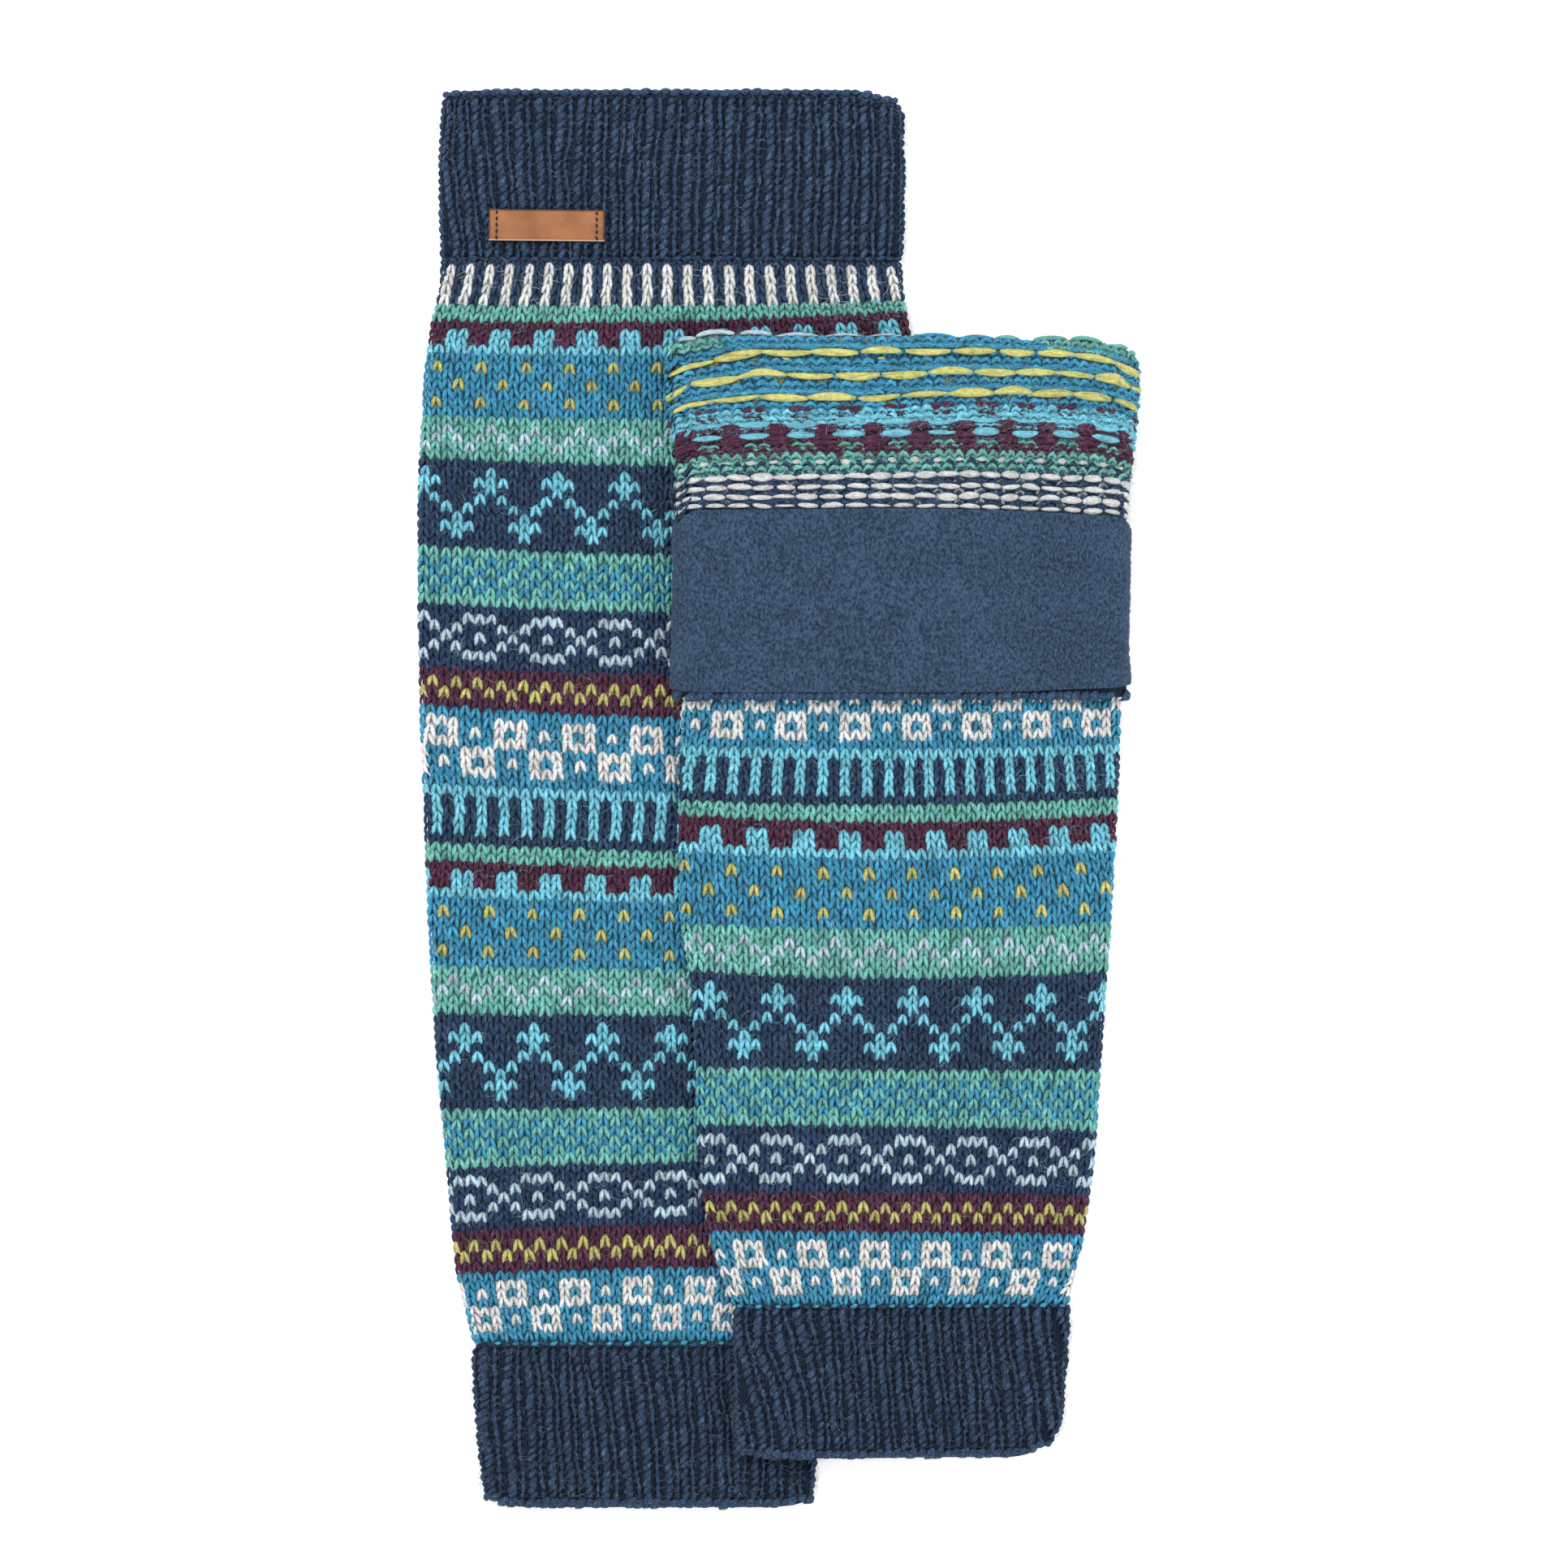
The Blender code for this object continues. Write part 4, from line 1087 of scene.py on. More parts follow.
ribbing = {"columns": 176, "seat": 1.7, "valley": 0.9, "middle": 0.23, "hollow": 0.27, "rimGap": 2.2, "shade": 0.14,
          "sideTurns": (-1.9, -1.2, 1.2, 1.9), "sideWidth": 2.1, "lastTurn": 1.7}


def ribLine(cuff, u, y):  # x of the bright line of rib number u at height y
    order = np.argsort(cuff["at"])
    heights = np.array(cuff["at"])[order]
    table = np.array(cuff["lines"])[order]
    share = np.clip(np.interp(y, heights, np.arange(len(heights))), 0, len(heights) - 1.001)
    low = np.floor(share).astype(int)
    share = share - low
    index = np.clip(np.floor(u).astype(int), 0, table.shape[1] - 2)
    part = u - index
    first = table[low, index] * (1 - share) + table[low + 1, index] * share
    second = table[low, index + 1] * (1 - share) + table[low + 1, index + 1] * share
    return first + (second - first) * part


def ribPlace(cuff, n):  # u counts ribs, y is the height along the leg
    def place(u, y):
        x = ribLine(cuff, u, y) + 0.22 * np.sin(0.35 * y + 2.4 * u)
        return onRing(cuff["leg"], ringAt(cuff["leg"], x, y, ribbing["seat"]), y, n)
    return place


def ribProfile(cuff, s, y):  # the wall's outer face, raised along each rib on the side that shows
    leg = cuff["leg"]
    numbers = np.arange(-2.0, len(cuff["lines"][0]) + 2)
    places = ribLine(cuff, numbers, np.full(len(numbers), y[0]))
    phase = np.interp(s, places, numbers) + ribbing["middle"]
    crest = 0.5 + 0.5 * np.cos(2 * math.pi * phase)
    around = np.abs(turnAt(leg, s, y))
    shown = 1 - smooth(around)
    side = ribbing["valley"] + (ribbing["seat"] - ribbing["valley"]) * smooth((around - 0.2) / 0.8)
    flat = np.maximum(outerHeight(leg, s, y, ribbing["valley"]), side)
    return flat + crest * (ribbing["seat"] - ribbing["valley"]) * shown


def cuffShell(name, cuff):
    leg = cuff["leg"]
    way = 1.0 if cuff["rim"] > cuff["seam"] else -1.0
    seamEnd = cuff["seam"] + way * 0.15
    rimEnd = cuff["rim"] - way * 0.8
    frontColumns = ribbing["columns"]
    ys = list(np.linspace(seamEnd, rimEnd, 13))
    shares = np.arange(frontColumns + 1) / frontColumns
    rings = []
    plan = [(y, "outer") for y in ys]
    plan += [(cuff["rim"] - way * 0.1, "rimOuter"), (cuff["rim"] - way * 0.1, "rimInner")]
    plan += [(y, "inner") for y in ys[::-3]]
    for y, kind in plan:
        left, right = read(leg["left"], y), read(leg["right"], y)
        front = left + (right - left) * shares
        s = ringPlaces(leg, float(y), front, frontColumns // 2)
        yAll = np.full(len(s), y)
        outer = ribProfile(cuff, wrapped(leg, s, yAll), yAll)
        n = {"outer": outer, "rimOuter": outer * 0.75 + 0.1, "rimInner": outer * 0.35 + 0.15,
             "inner": np.full(len(s), cloth["hollow"])}[kind]
        rings.append(onRing(leg, s, yAll, n))
    points = np.array(rings)
    faces = gridFaces(len(points), points.shape[1])
    corner = gridCorners(*points.shape[:2]) * np.array((0.25, cuff["rows"] / 12))
    if way > 0:
        faces, corner = faces[:, ::-1], corner[:, ::-1]
    colour = np.tile(np.append(linear(yarns["R"]) * cuff["dye"], 1.0), (len(faces), 4, 1))
    return makeMesh(name, points.reshape(-1, 3), faces, colour, corner, paintedShadeKnitBase)


def ribSides(cuff, y, tall):  # plain columns of stitches that carry on round both sides
    leg = cuff["leg"]
    turn, y = np.meshgrid(ribbing["sideTurns"], y, indexing="ij")
    turn, y = turn.ravel(), y.ravel()

    def place(a, b):
        edge = np.where(a > 0, read(leg["right"], b) - bodyHalf, read(leg["left"], b) + bodyHalf)
        return onRing(leg, edge + a * bodyHalf, b, ribbing["seat"])

    size = np.tile((ribbing["sideWidth"], tall, 1.2), (len(y), 1))
    return surfaceSpots(place, turn, y, 0.1, -1.0, size)


def ribSpots(cuff):
    leg, rows, count = cuff["leg"], cuff["rows"], len(cuff["lines"][0])
    way = 1.0 if cuff["rim"] > cuff["seam"] else -1.0
    top = max(cuff["seam"], cuff["rim"]) - (ribbing["rimGap"] if way > 0 else 0.5)
    bottom = min(cuff["seam"], cuff["rim"]) + (0.5 if way > 0 else ribbing["rimGap"])
    tall = (top - bottom) / rows
    u, row = np.meshgrid(np.arange(-1, count + 2), np.arange(rows) + 0.5, indexing="ij")
    u, row = u.ravel().astype(float), row.ravel()
    y = top - row * tall + dice.normal(0, 0.12, len(row))
    pitch = ribLine(cuff, u + 0.5, y) - ribLine(cuff, u - 0.5, y)
    x = ribLine(cuff, u, y) - 0.31 * pitch  # middle of the rib
    keep = np.abs(turnAt(leg, ringAt(leg, x, y, ribbing["seat"]), y)) < ribbing["lastTurn"]
    u, y, pitch = u[keep], y[keep], pitch[keep]
    size = np.stack([pitch, np.full(len(u), tall), np.full(len(u), 1.2)], axis=-1)
    crest = surfaceSpots(ribPlace(cuff, ribbing["seat"]), u, y, 0.1, -1.0, size)
    crest = joinSpots(crest, ribSides(cuff, top - (np.arange(rows) + 0.5) * tall, tall))
    dyed = linear(yarns["R"]) * cuff["dye"]
    size = np.stack([pitch * 0.42, np.full(len(u), tall * 0.7), np.full(len(u), 0.8)], axis=-1)
    valley = surfaceSpots(ribPlace(cuff, ribbing["valley"]), u + ribbing["hollow"], y, 0.2, -1.0, size)
    groups = []
    # painted shade: the purl bumps down in the valleys between ribs get 0.6 of the rib yarn's colour, the crests its
    # full colour
    for spots, shade, spread in ((crest, 1.0, ribbing["shade"]), (valley, 0.6, 0.25)):
        if leg is lower and way < 0:
            x, y = spots["point"][:, 0], spots["point"][:, 1]
            shows = (x < read(upper["left"], y) + knit["tuck"]) | (y < cuffs["upperAnkleCuff"]["rim"] + 1)
            spots = pick(spots, shows)
        spots["colour"] = varied(np.tile(np.append(dyed * shade, 1.0), (len(spots["point"]), 1)), spread)
        groups.append(spots)
    return groups


cuffPieces = {}
for i, (name, cuff) in enumerate(cuffs.items()):
    shell = cuffShell(name + "Cloth", cuff)
    crest, valley = ribSpots(cuff)
    ribPiece = placeStrands(name + "Ribs", ribShape, crest, ribWool, sway=0.16, uneven=0.17, seed=31 + i)
    valleyPiece = placeStrands(name + "Purls", bumpShape, valley, ribWool, sway=0.5, uneven=0.25, seed=41 + i)
    cuffPieces[name] = (shell, ribPiece, valleyPiece)
print("cuffs")

# ---- rims, seams and the edge loops
edging = {
    "rimTop": (2.9, (3.3, 1.9, 1.2), 6), "rimTopBack": (2.7, (2.6, 1.2, 0.9), -20), "rimAnkle": (2.5, (3.7, 2.5, 1.5), 32),
    "seamTop": (3.0, (3.0, 1.3, 0.9), 0), "seamAnkle": (5.5, (2.1, 1.1, 1.1), 8), "seamBetween": (5.5, (2.8, 1.2, 0.8), -10), "past": 1.0}


def lineSpots(leg, y, n, kind, yarn, shift=0.0, shade=0.1, pale=1.0):
    step, size, tilt = edging[kind]
    left, right = read(leg["left"], y) - edging["past"], read(leg["right"], y) + edging["past"]
    count = int((right - left) / step)
    s = left + (right - left) * (np.arange(count) + 0.5 + shift) / count
    jitter = dice.normal(0, 0.12, (2, count))
    spots = surfaceSpots(lambda a, b: onRing(leg, a, b, n), s + jitter[0], y + jitter[1], 0.5, -0.5,
                         np.tile(size, (count, 1)))
    c, d = math.cos(math.radians(tilt)), math.sin(math.radians(tilt))
    across = spots["across"] * c + spots["wale"] * d
    wale = spots["wale"] * c - spots["across"] * d
    spots["across"], spots["wale"] = across, wale
    spots["colour"] = varied(np.tile(np.append(linear(yarns[yarn]) * pale, 1.0), (count, 1)), shade)
    return spots


rimSpots = joinSpots(
    lineSpots(lower, 208.9, 1.9, "rimTop", "R", pale=0.9), lineSpots(lower, 207.6, 1.2, "rimTopBack", "R", pale=0.6),
    lineSpots(lower, -208.6, 1.9, "rimAnkle", "R", pale=0.76), lineSpots(upper, -193.8, 1.9, "rimAnkle", "R", pale=0.76))
rims = placeStrands("rimEdges", floatShape, rimSpots, ribWool, sway=0.22, uneven=0.18, seed=51)
seamSpots = joinSpots(
    lineSpots(lower, 159.6, 1.8, "seamTop", "N", pale=0.8),
    lineSpots(lower, -161.2, 2.2, "seamAnkle", "B", pale=1.05), lineSpots(lower, -161.5, 1.8, "seamBetween", "N", 0.5),
    lineSpots(upper, -150.0, 2.2, "seamAnkle", "B", pale=1.05), lineSpots(upper, -150.2, 1.8, "seamBetween", "N", 0.5))
seams = placeStrands("seamLoops", floatShape, seamSpots, wool, sway=0.3, uneven=0.2, seed=52)
# the cord shade darkens the seam cord's navy, partly the thread's own dark colour and partly painted shadow in the
# joint
cords = {"height": 1.25, "half": 0.42, "step": 1.0, "shade": 0.42, "thin": 0.2}


def seamCord(leg, y):  # a dark yarn that runs right round in the joint; its darkened navy is partly the thread's own dark colour and partly painted shadow in the seam
    left = float(read(leg["left"], y)) + bodyHalf
    right = float(read(leg["right"], y)) - bodyHalf
    around = 2 * (right - left) + 2 * math.pi * bodyHalf
    s = left + np.linspace(0, around, int(around / cords["step"]))
    ys = y + 0.12 * np.sin(1.9 * s)
    line = onRing(leg, s, ys, cords["height"])
    up = unit(onRing(leg, s, ys, cords["height"] + 0.5) - line)
    size = np.full(len(s), cords["half"])
    return line, up, size, size, np.append(linear(yarns["N"]) * cords["shade"], 1.0)


def rimLine(leg, xs, ys, n):  # the sewing that holds a rim, seen as a thin dark line
    x = np.arange(xs[0], xs[-1], 1.2)
    y = np.interp(x, xs, ys) + dice.normal(0, 0.07, len(x)) + dropAt(leg, x, np.interp(x, xs, ys))
    height = n + 0.1 * np.sin(2.6 * x)
    line = onRing(leg, ringAt(leg, x, y, n), y, height)
    size = np.full(len(x), cords["thin"])
    return line, np.tile((0.0, 0.0, 1.0), (len(x), 1)), size, size, np.append(linear(yarns["N"]) * 0.28, 1.0)


cordRuns = [
    seamCord(lower, 159.8), seamCord(lower, -162.2), seamCord(upper, -150.2),
    rimLine(lower, (-98.2, -40.0, -10.0, 10.0, 15.0, 24.0, 35.6), (207.3, 207.8, 207.4, 207.3, 206.6, 205.2, 204.7), 2.5),
    rimLine(lower, (-86.4, -40.0, 9.4), (-206.6, -206.9, -206.3), 2.5),
    rimLine(upper, (-10.6, 30.0, 79.6), (-192.3, -192.0, -191.6), 2.5)]
seamCords = yarnRuns("seamCords", cordRuns, 5, wool)

# ---- fleece band and the cuff's rim under it
fleece = {
    "upper": 86.1, "lower": 31.2, "pile": 0.13, "rows": 62, "columns": 280,
    "across": (-33.0, -31.1, -29.2, -24.4, 0.0, 33.7, 57.7, 73.8, 85.8, 97.8, 101.6, 104.0),
    "top": (78.9, 80.3, 83.0, 84.6, 84.9, 85.2, 84.9, 84.4, 83.8, 83.2, 82.2, 80.4),
    "hem": (33.0, 32.6, 32.0, 31.6, 31.6, 31.6, 31.6, 32.0, 32.6, 33.0, 33.4, 34.2)}


def fleeceMaterial(spec):
    material = bpy.data.materials.new("fleecePile")
    material.use_nodes = True
    tree, add, link = nodes(material)
    shader = tree.nodes["Principled BSDF"]
    coords = add("ShaderNodeTexCoord")
    grain = add("ShaderNodeTexNoise")
    grain.inputs["Scale"].default_value = spec["grain"]
    grain.inputs["Detail"].default_value = 2.0
    grain.inputs["Roughness"].default_value = 0.55
    tall = add("ShaderNodeMapping")
    tall.inputs["Scale"].default_value = (1.0, 0.6, 1.0)
    link(coords.outputs["Object"], tall.inputs["Vector"])
    link(tall.outputs["Vector"], grain.inputs["Vector"])
    cloud = add("ShaderNodeTexNoise")
    cloud.inputs["Scale"].default_value = spec["cloud"]
    cloud.inputs["Detail"].default_value = 2.0
    link(coords.outputs["Object"], cloud.inputs["Vector"])
    mix = add("ShaderNodeMath", operation="MULTIPLY_ADD")
    link(cloud.outputs["Fac"], mix.inputs[0])
    mix.inputs[1].default_value = 0.22
    link(grain.outputs["Fac"], mix.inputs[2])
    ramp = add("ShaderNodeValToRGB")
    ramp.color_ramp.elements[0].position = 0.46
    ramp.color_ramp.elements[0].color = (*linear(spec["dark"]), 1.0)
    ramp.color_ramp.elements[1].position = 0.78
    ramp.color_ramp.elements[1].color = (*linear(spec["light"]), 1.0)
    link(mix.outputs["Value"], ramp.inputs["Fac"])
    link(ramp.outputs["Color"], shader.inputs["Base Color"])
    fine = add("ShaderNodeTexNoise")
    fine.inputs["Scale"].default_value = spec["fine"]
    fine.inputs["Detail"].default_value = 2.0
    link(coords.outputs["Object"], fine.inputs["Vector"])
    heights = add("ShaderNodeMath", operation="MULTIPLY_ADD")
    link(fine.outputs["Fac"], heights.inputs[0])
    heights.inputs[1].default_value = 0.5
    link(grain.outputs["Fac"], heights.inputs[2])
    bump = add("ShaderNodeBump")
    bump.inputs["Strength"].default_value = 0.5
    bump.inputs["Distance"].default_value = 0.0007
    link(heights.outputs["Value"], bump.inputs["Height"])
    link(bump.outputs["Normal"], shader.inputs["Normal"])
    shader.inputs["Roughness"].default_value = 0.95
    shader.inputs["Specular IOR Level"].default_value = 0.12
    shader.inputs["Sheen Weight"].default_value = 0.12
    shader.inputs["Sheen Roughness"].default_value = 0.5
    shader.inputs["Sheen Tint"].default_value = (0.75, 0.86, 1.0, 1.0)
    return material


def bandShell(name, edges, inside, outside, columns, rows, material, pile=0.0, colour=None):
    # a closed band round the upper leg warmer: outer face down, hem, inner face up, upper edge
    third = (outside - inside) / 3
    shares = np.linspace(0, 1, rows)
    plan = [(share, 0.0, outside, True) for share in shares]
    plan += [(1.0, -third * 0.8, outside - third, False), (1.0, -third * 0.8, inside + third, False)]
    plan += [(share, 0.0, inside, False) for share in shares[::-1][::6]]
    plan += [(0.0, 0.0, inside, False)] if (rows - 1) % 6 else []
    plan += [(0.0, third * 0.8, inside + third, False), (0.0, third * 0.8, outside - third, False)]
    rings = []
    for share, extra, n, rough in plan:
        y = edges[0] + (edges[1] - edges[0]) * share
        left = read(upper["left"], y) + bodyHalf
        right = read(upper["right"], y) - bodyHalf
        around = 2 * (right - left) + 2 * math.pi * bodyHalf
        s = left + around * np.arange(columns) / columns
        x = onRing(upper, s, np.full(columns, y), n)[:, 0]
        y0, y1 = np.full(columns, edges[0]), np.full(columns, edges[1])
        if len(edges) > 2:
            front = np.abs(turnAt(upper, wrapped(upper, s, np.full(columns, y)), y)) < 2.4
            y0 = np.where(front, np.interp(x, fleece["across"], fleece["top"]), fleece["top"][0])
            y1 = np.where(front, np.interp(x, fleece["across"], fleece["hem"]), fleece["hem"][0])
        height = np.full(columns, n)
        if rough and pile:
            height = height + dice.normal(0, pile, columns) - 0.35 * (max(0, 0.03 - min(share, 1 - share)) / 0.03)
        rings.append(onRing(upper, s, y0 + (y1 - y0) * share + extra, height))
    points = np.array(rings)
    faces = gridFaces(len(points), columns)
    colours = None if colour is None else np.tile(np.append(linear(colour), 1.0), (len(faces), 4, 1))
    return makeMesh(name, points.reshape(-1, 3), faces, colours, gridCorners(len(points), columns), material)


fleeceFinish = fleeceMaterial({
    "grain": 1500.0, "cloud": 60.0, "fine": 4200.0, "dark": (34, 51, 71), "light": (72, 94, 121)})
fleeceBand = bandShell("fleeceBand", (fleece["upper"] - 0.4, fleece["lower"] + 0.4, "shaped"), liningIn,
                       liningOut - 0.1, fleece["columns"], fleece["rows"], fleeceFinish, pile=fleece["pile"])
turnedCuff = bandShell("turnedCuffCloth", (85.15, 30.6), turnedIn, turnedOut, 120, 12, paintedShadeKnitBase, colour=yarns["R"])
rimUnder = placeStrands("turnedCuffRim", floatShape, joinSpots(
    lineSpots(upper, 30.2, turnedOut - 0.5, "rimAnkle", "R")), ribWool, sway=0.2, uneven=0.2, seed=53)
print("fleece")

# ---- leather patch
patch = {"size": (34.2, 9.2), "thick": 1.0, "centre": (-68.6, 169.5), "turn": -0.6, "seat": 5.9,
         "stitchIn": 2.3, "stitches": 5, "stitchLong": 1.35, "thread": 0.3, "dark": (146, 92, 54), "light": (177, 117, 76),
         "cut": (214, 176, 156)}


def leatherMaterial():
    material = bpy.data.materials.new("tanLeather")
    material.use_nodes = True
    tree, add, link = nodes(material)
    shader = tree.nodes["Principled BSDF"]
    coords = add("ShaderNodeTexCoord")
    pores = add("ShaderNodeTexVoronoi")
    pores.inputs["Scale"].default_value = 1500.0
    link(coords.outputs["Object"], pores.inputs["Vector"])
    wear = add("ShaderNodeTexNoise")
    wear.inputs["Scale"].default_value = 130.0
    wear.inputs["Detail"].default_value = 5.0
    link(coords.outputs["Object"], wear.inputs["Vector"])
    ramp = add("ShaderNodeValToRGB")
    ramp.color_ramp.elements[0].position = 0.3
    ramp.color_ramp.elements[0].color = (*linear(patch["dark"]), 1.0)
    ramp.color_ramp.elements[1].position = 0.72
    ramp.color_ramp.elements[1].color = (*linear(patch["light"]), 1.0)
    link(wear.outputs["Fac"], ramp.inputs["Fac"])
    uvMap = add("ShaderNodeUVMap", uv_map="face")
    split = add("ShaderNodeSeparateXYZ")
    link(uvMap.outputs["UV"], split.inputs["Vector"])
    ways = []
    for axis, length in zip("XY", patch["size"]):
        off = add("ShaderNodeMath", operation="SUBTRACT")
        link(split.outputs[axis], off.inputs[0])
        off.inputs[1].default_value = 0.5
        far = add("ShaderNodeMath", operation="ABSOLUTE")
        link(off.outputs["Value"], far.inputs[0])
        inward = add("ShaderNodeMath", operation="MULTIPLY_ADD")
        link(far.outputs["Value"], inward.inputs[0])
        inward.inputs[1].default_value = -length
        inward.inputs[2].default_value = length / 2
        ways.append(inward)
    nearest = add("ShaderNodeMath", operation="MINIMUM")
    link(ways[0].outputs["Value"], nearest.inputs[0])
    link(ways[1].outputs["Value"], nearest.inputs[1])
    burnish = add("ShaderNodeMapRange")
    burnish.inputs["From Min"].default_value = 0.3
    burnish.inputs["From Max"].default_value = 0.75
    burnish.inputs["To Min"].default_value = 0.5
    link(nearest.outputs["Value"], burnish.inputs["Value"])
    tan = add("ShaderNodeVectorMath", operation="SCALE")
    link(ramp.outputs["Color"], tan.inputs[0])
    link(burnish.outputs["Result"], tan.inputs["Scale"])
    cut = add("ShaderNodeMapRange")
    cut.inputs["From Min"].default_value = 0.052
    cut.inputs["From Max"].default_value = 0.036
    link(split.outputs["Y"], cut.inputs["Value"])
    edge = add("ShaderNodeMix", data_type="RGBA")
    link(cut.outputs["Result"], edge.inputs["Factor"])
    link(tan.outputs["Vector"], edge.inputs["A"])
    edge.inputs["B"].default_value = (*linear(patch["cut"]), 1.0)
    link(edge.outputs["Result"], shader.inputs["Base Color"])
    bump = add("ShaderNodeBump")
    bump.inputs["Strength"].default_value = 0.35
    bump.inputs["Distance"].default_value = 0.0002
    link(pores.outputs["Distance"], bump.inputs["Height"])
    link(bump.outputs["Normal"], shader.inputs["Normal"])
    shader.inputs["Roughness"].default_value = 0.55
    shader.inputs["Specular IOR Level"].default_value = 0.35
    return material


def patchMesh():
    width, height = patch["size"]
    columns, rows = 36, 10
    mesh = bpy.data.meshes.new("leatherPatch")
    bm = bmesh.new()
    layers = []
    for z, inset in ((0.0, 0.25), (0.25, 0.0), (0.75, 0.0), (1.0, 0.3)):
        ring = []
        for i in range(columns + 1):
            ring.append((-0.5 + i / columns, -0.5))
        for i in range(1, rows):
            ring.append((0.5, -0.5 + i / rows))
        for i in range(columns, -1, -1):
            ring.append((-0.5 + i / columns, 0.5))
        for i in range(rows - 1, 0, -1):
            ring.append((-0.5, -0.5 + i / rows))
        layers.append([(x * (width - 2 * inset), y * (height - 2 * inset), z * patch["thick"]) for x, y in ring])
    turn = math.radians(patch["turn"])
    c, s = math.cos(turn), math.sin(turn)

    def put(x, y, z):
        sag = 0.25 * math.cos(x * 1.05) * (z / patch["thick"])
        px, py = x * c - y * s + patch["centre"][0], x * s + y * c + patch["centre"][1]
        return bm.verts.new((px * mm, py * mm, (z + patch["seat"] + 0.12 * sag) * mm))

    rings = [[put(*point) for point in layer] for layer in layers]
    for a, b in zip(rings, rings[1:]):
        for i in range(len(a)):
            j = (i + 1) % len(a)
            bm.faces.new((a[i], a[j], b[j], b[i]))
    for ring, z, inset, up in ((rings[-1], 1.0, 0.3, True), (rings[0], 0.0, 0.25, False)):
        grid = {}
        for i in range(columns + 1):
            for j in range(rows + 1):
                if i in (0, columns) or j in (0, rows):
                    if j == 0:
                        grid[i, j] = ring[i]
                    elif i == columns:
                        grid[i, j] = ring[columns + j]
                    elif j == rows:
                        grid[i, j] = ring[columns + rows + columns - i]
                    else:
                        grid[i, j] = ring[2 * columns + 2 * rows - j]
                else:
                    x, y = -0.5 + i / columns, -0.5 + j / rows
                    grid[i, j] = put(x * (width - 2 * inset), y * (height - 2 * inset), z * patch["thick"])
        for i in range(columns):
            for j in range(rows):
                quad = (grid[i, j], grid[i + 1, j], grid[i + 1, j + 1], grid[i, j + 1])
                bm.faces.new(quad if up else quad[::-1])
    bmesh.ops.recalc_face_normals(bm, faces=bm.faces)
    face = bm.loops.layers.uv.new("face")
    for polygon in bm.faces:
        for loop in polygon.loops:
            dx = loop.vert.co.x / mm - patch["centre"][0]
            dy = loop.vert.co.y / mm - patch["centre"][1]
            loop[face].uv = ((dx * c + dy * s) / width + 0.5, (dy * c - dx * s) / height + 0.5)
    bm.to_mesh(mesh)
    bm.free()
    mesh.shade_smooth()
    mesh.materials.append(leatherMaterial())
    piece = bpy.data.objects.new("leatherPatch", mesh)
    bpy.context.scene.collection.objects.link(piece)
    return piece


def patchStitches():  # dark thread down both ends of the patch, the last stitch running over its edge
    width, height = patch["size"]
    turn = math.radians(patch["turn"])
    c, s = math.cos(turn), math.sin(turn)
    top = patch["seat"] + patch["thick"]
    runs = []
    for side in (-1, 1):
        x = side * (width / 2 - patch["stitchIn"])
        for i in range(patch["stitches"]):
            y = height / 2 - (i + 0.5) * height / patch["stitches"]
            reach = patch["stitchLong"] / 2 * (1 + dice.normal(0, 0.12))
            lean = dice.normal(0, 0.12)
            steps = np.linspace(-1, 1, 5)
            ys = y + steps * reach
            xs = x + steps * lean
            zs = top + 0.22 - 0.34 * steps ** 2
            line = np.stack([xs * c - ys * s + patch["centre"][0], xs * s + ys * c + patch["centre"][1], zs], -1)
            thick = patch["thread"] * np.array((0.6, 1.0, 1.05, 1.0, 0.6))
            colour = np.append(linear((58, 40, 30)) * (1 + dice.normal(0, 0.15)), 1.0)
            runs.append((line, np.tile((0.0, 0.0, 1.0), (5, 1)), thick, thick, np.clip(colour, 0, 1)))
    return yarnRuns("patchThread", runs, 6, wool)


leatherPatch = patchMesh()
patchThread = patchStitches()
print("patch")

# ---- stray fibres over all the wool
fuzz = {"length": (1.0, 4.8), "width": 0.062, "rise": 0.6, "floor": 0.25, "out": 1.7}


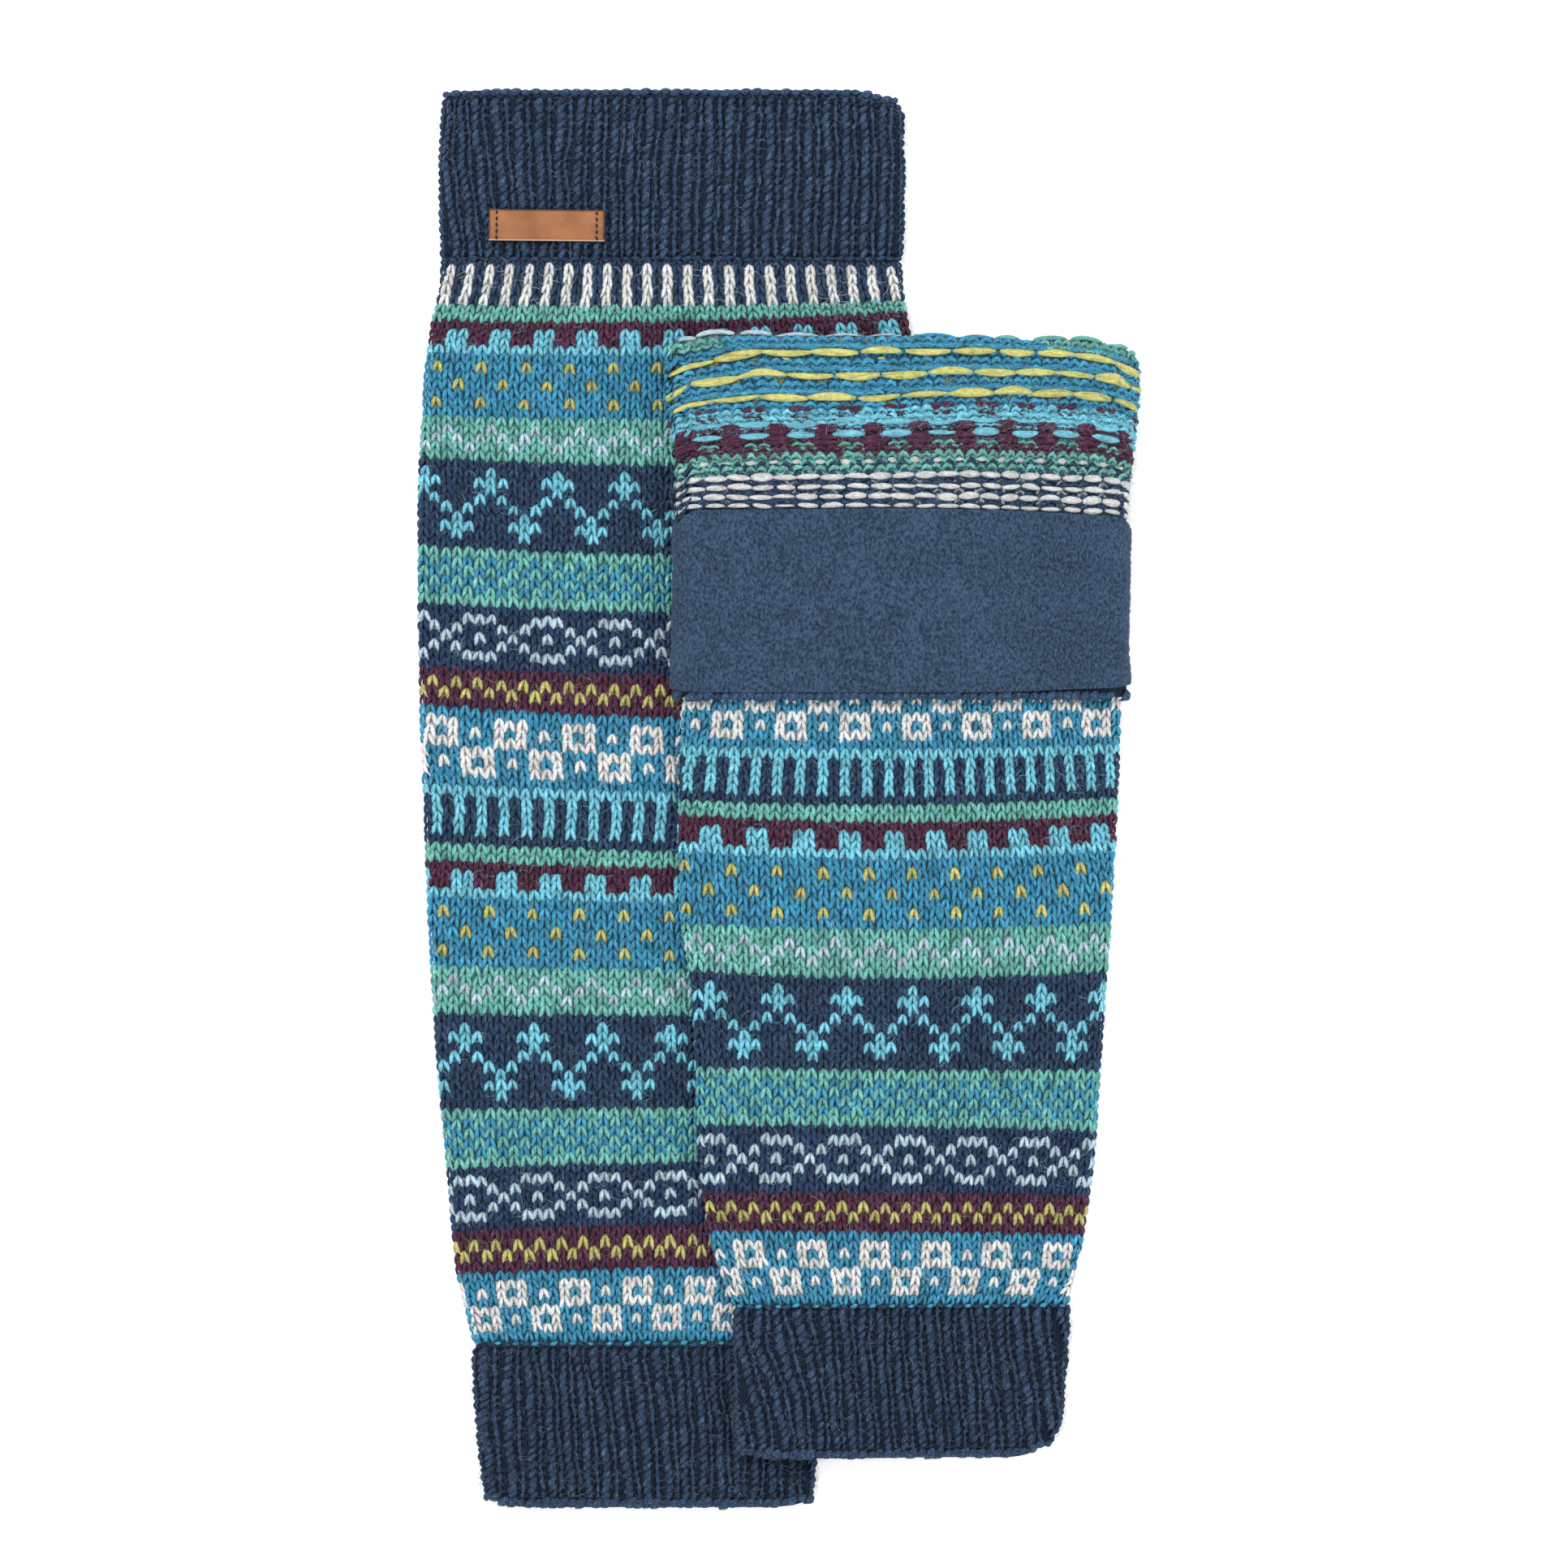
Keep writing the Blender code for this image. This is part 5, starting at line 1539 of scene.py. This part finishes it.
def fuzzRibbons(name, spots, count, seed):
    local = np.random.default_rng(seed)
    chosen = local.integers(0, len(spots["point"]), count)
    base = spots["point"][chosen]
    across, wale = spots["across"][chosen], spots["wale"][chosen]
    normal = np.cross(across, wale)
    heading = local.uniform(0, 2 * math.pi, count)[:, None]
    length = local.uniform(*fuzz["length"], count)[:, None]
    bend = local.normal(0, 1.6, count)[:, None]
    lift = local.uniform(0.85, 1.35, count)[:, None]
    base = base + across * local.uniform(-1.5, 1.5, (count, 1)) + wale * local.uniform(-1.3, 1.3, (count, 1))
    colour = spots["colour"][chosen]
    pale = local.uniform(0.02, 0.6, count)[:, None] ** 1.5
    colour = np.concatenate([np.clip(colour[:, :3] * (1 - pale) + pale * np.array((0.46, 0.52, 0.58)), 0, 1),
                             np.ones((count, 1))], axis=1)
    steps = 4
    free = local.random((count, 1)) < 0.3  # these stand off the cloth at their far end
    rise = np.where(free, fuzz["out"], fuzz["rise"]) * local.uniform(0.2, 1.0, (count, 1))
    ends = np.where(free, 0.5, 1.0)
    lines = []
    spot = base + normal * lift
    for i in range(steps):
        share = i / (steps - 1)
        angle = heading + bend * share
        way = across * np.cos(angle) + wale * np.sin(angle)
        arch = normal * (lift + rise * np.sin(math.pi * share * ends))
        spot = spot + way * length / steps
        lines.append((spot - normal * lift + arch, np.cross(normal, way)))
    points = np.concatenate([
        np.stack([place - aside * fuzz["width"] / 2 * (1 - 0.5 * i / steps),
                  place + aside * fuzz["width"] / 2 * (1 - 0.5 * i / steps)], axis=1)
        for i, (place, aside) in enumerate(lines)], axis=1)
    points[..., 2] = np.maximum(points[..., 2], fuzz["floor"])
    number = np.arange(count)[:, None] * steps * 2
    faces = np.concatenate([number + np.array([2 * i, 2 * i + 1, 2 * i + 3, 2 * i + 2]) for i in range(steps - 1)])
    corners = np.tile(colour[:, None, :], (steps - 1, 4, 1))
    piece = makeMesh(name, points.reshape(-1, 3), faces, corners, None, ribWool)
    return piece


lowerCuffSpots = joinSpots(ribSpots(cuffs["lowerTopCuff"])[0], ribSpots(cuffs["lowerAnkleCuff"])[0])
upperCuffSpots = ribSpots(cuffs["upperAnkleCuff"])[0]


def withoutRow(spots):
    return {key: values for key, values in spots.items() if key != "row"}


lowerFuzz = fuzzRibbons("lowerFuzz", joinSpots(withoutRow(lowerKnit), lowerCuffSpots, lowerCuffSpots), 12000, 61)
upperFuzz = fuzzRibbons("upperFuzz", joinSpots(withoutRow(upperKnit), upperCuffSpots, upperCuffSpots, turnedSpots,
                                               turnedSpots), 12000, 62)
print("fuzz")

# ---- every piece under the root body, and the solids they replace hidden
for piece in (*lowerStitches, lowerCloth, *upperStitches, upperCloth, turnedLoops, turnedFloats, seams,
              seamCords):
    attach(piece, "root")
for piece in (rims, rimUnder, turnedCuff, lowerFuzz, upperFuzz, *[p for group in cuffPieces.values() for p in group]):
    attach(piece, "root")
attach(fleeceBand, "root")
for piece in (leatherPatch, patchThread):
    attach(piece, "root")
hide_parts("left_body")
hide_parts("right_body")
for name, cuff in cuffs.items():
    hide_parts(cuff["node"])
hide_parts("right_lining")
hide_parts("right_top_cuff")
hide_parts("left_label")


def roundCut(leg, y):  # width of the cut round the tube at y
    return 2 * float(read(leg["right"], y) - read(leg["left"], y) - 2 * bodyHalf) + 2 * math.pi * 1.3


def cutArea(leg, y0, y1):
    ys = np.linspace(y0, y1, 60)
    return float(np.mean([roundCut(leg, y) for y in ys])) * (y1 - y0) * mm * mm


def declare(leg, y0, y1, times=1.0):
    widest = max(roundCut(leg, y) for y in np.linspace(y0, y1, 60))
    cutArea(leg, y0, y1) * times


declare(lower, -162.05, 159.65)
declare(upper, -150.05, 138.0,
        times=1.18)
declare(lower, 159.95, 209.8)
declare(lower, -209.8, -162.35)
declare(upper, -195.0, -150.35)
declare(upper, 30.0, 85.15)
declare(upper, 31.2, 86.1)

# ---- floor, light and camera
view = {"centre": (1.56, 4.32), "frameWidth": 463.68, "height": 3.0, "plane": 0.006}


def addFloor():
    mesh = bpy.data.meshes.new("floor")
    reach = 3.0
    mesh.from_pydata([(-reach, -reach, 0), (reach, -reach, 0), (reach, reach, 0), (-reach, reach, 0)], [], [(0, 1, 2, 3)])
    material = bpy.data.materials.new("paleFloor")
    material.use_nodes = True
    tree, add, link = nodes(material)
    shader = tree.nodes["Principled BSDF"]
    noise = add("ShaderNodeTexNoise")
    noise.inputs["Scale"].default_value = 4.0
    ramp = add("ShaderNodeValToRGB")
    ramp.color_ramp.elements[0].color = (0.90, 0.90, 0.90, 1.0)
    ramp.color_ramp.elements[1].color = (0.93, 0.93, 0.93, 1.0)
    link(noise.outputs["Fac"], ramp.inputs["Fac"])
    link(ramp.outputs["Color"], shader.inputs["Base Color"])
    shader.inputs["Roughness"].default_value = 0.9
    shader.inputs["Specular IOR Level"].default_value = 0.1
    shader.inputs["Emission Color"].default_value = (1.0, 1.0, 1.0, 1.0)
    shader.inputs["Emission Strength"].default_value = 0.45
    mesh.materials.append(material)
    floor = bpy.data.objects.new("floor", mesh)
    bpy.context.scene.collection.objects.link(floor)
    floor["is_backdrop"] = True


def addLight(name, place, target, size, power):
    data = bpy.data.lights.new(name, "AREA")
    data.shape = "DISK"
    data.size, data.energy = size, power
    lamp = bpy.data.objects.new(name, data)
    lamp.location = place
    way = np.array(target, float) - np.array(place, float)
    lamp.rotation_mode = "QUATERNION"
    lamp.rotation_quaternion = Vector(way).to_track_quat("-Z", "Y")
    bpy.context.scene.collection.objects.link(lamp)


def addCamera():
    data = bpy.data.cameras.new("overhead")
    data.sensor_width = 36.0
    distance = view["height"] - view["plane"]
    data.lens = data.sensor_width * distance / (view["frameWidth"] * mm)
    data.clip_end = 20.0
    camera = bpy.data.objects.new("overhead", data)
    camera.location = (view["centre"][0] * mm, view["centre"][1] * mm, view["height"])
    bpy.context.scene.collection.objects.link(camera)
    bpy.context.scene.camera = camera


addFloor()
addLight("softKey", (-0.9, 1.1, 1.9), (0, 0, 0), 1.3, 26)
addLight("softFill", (1.4, -0.6, 1.6), (0, 0, 0), 1.8, 14)
world = bpy.data.worlds.new("studio")
world.use_nodes = True
world.node_tree.nodes["Background"].inputs["Color"].default_value = (1.0, 1.0, 1.0, 1.0)
world.node_tree.nodes["Background"].inputs["Strength"].default_value = 0.62
bpy.context.scene.world = world
bpy.context.scene.view_settings.view_transform = "Standard"
addCamera()

for shape in (knitShape, ribShape, purlShape, bumpShape, floatShape):
    bpy.data.objects.remove(shape, do_unlink=True)
total = sum(len(polygon.vertices) - 2 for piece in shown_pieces() if piece.type == "MESH"
            for polygon in piece.data.polygons)
print("triangles:", total)
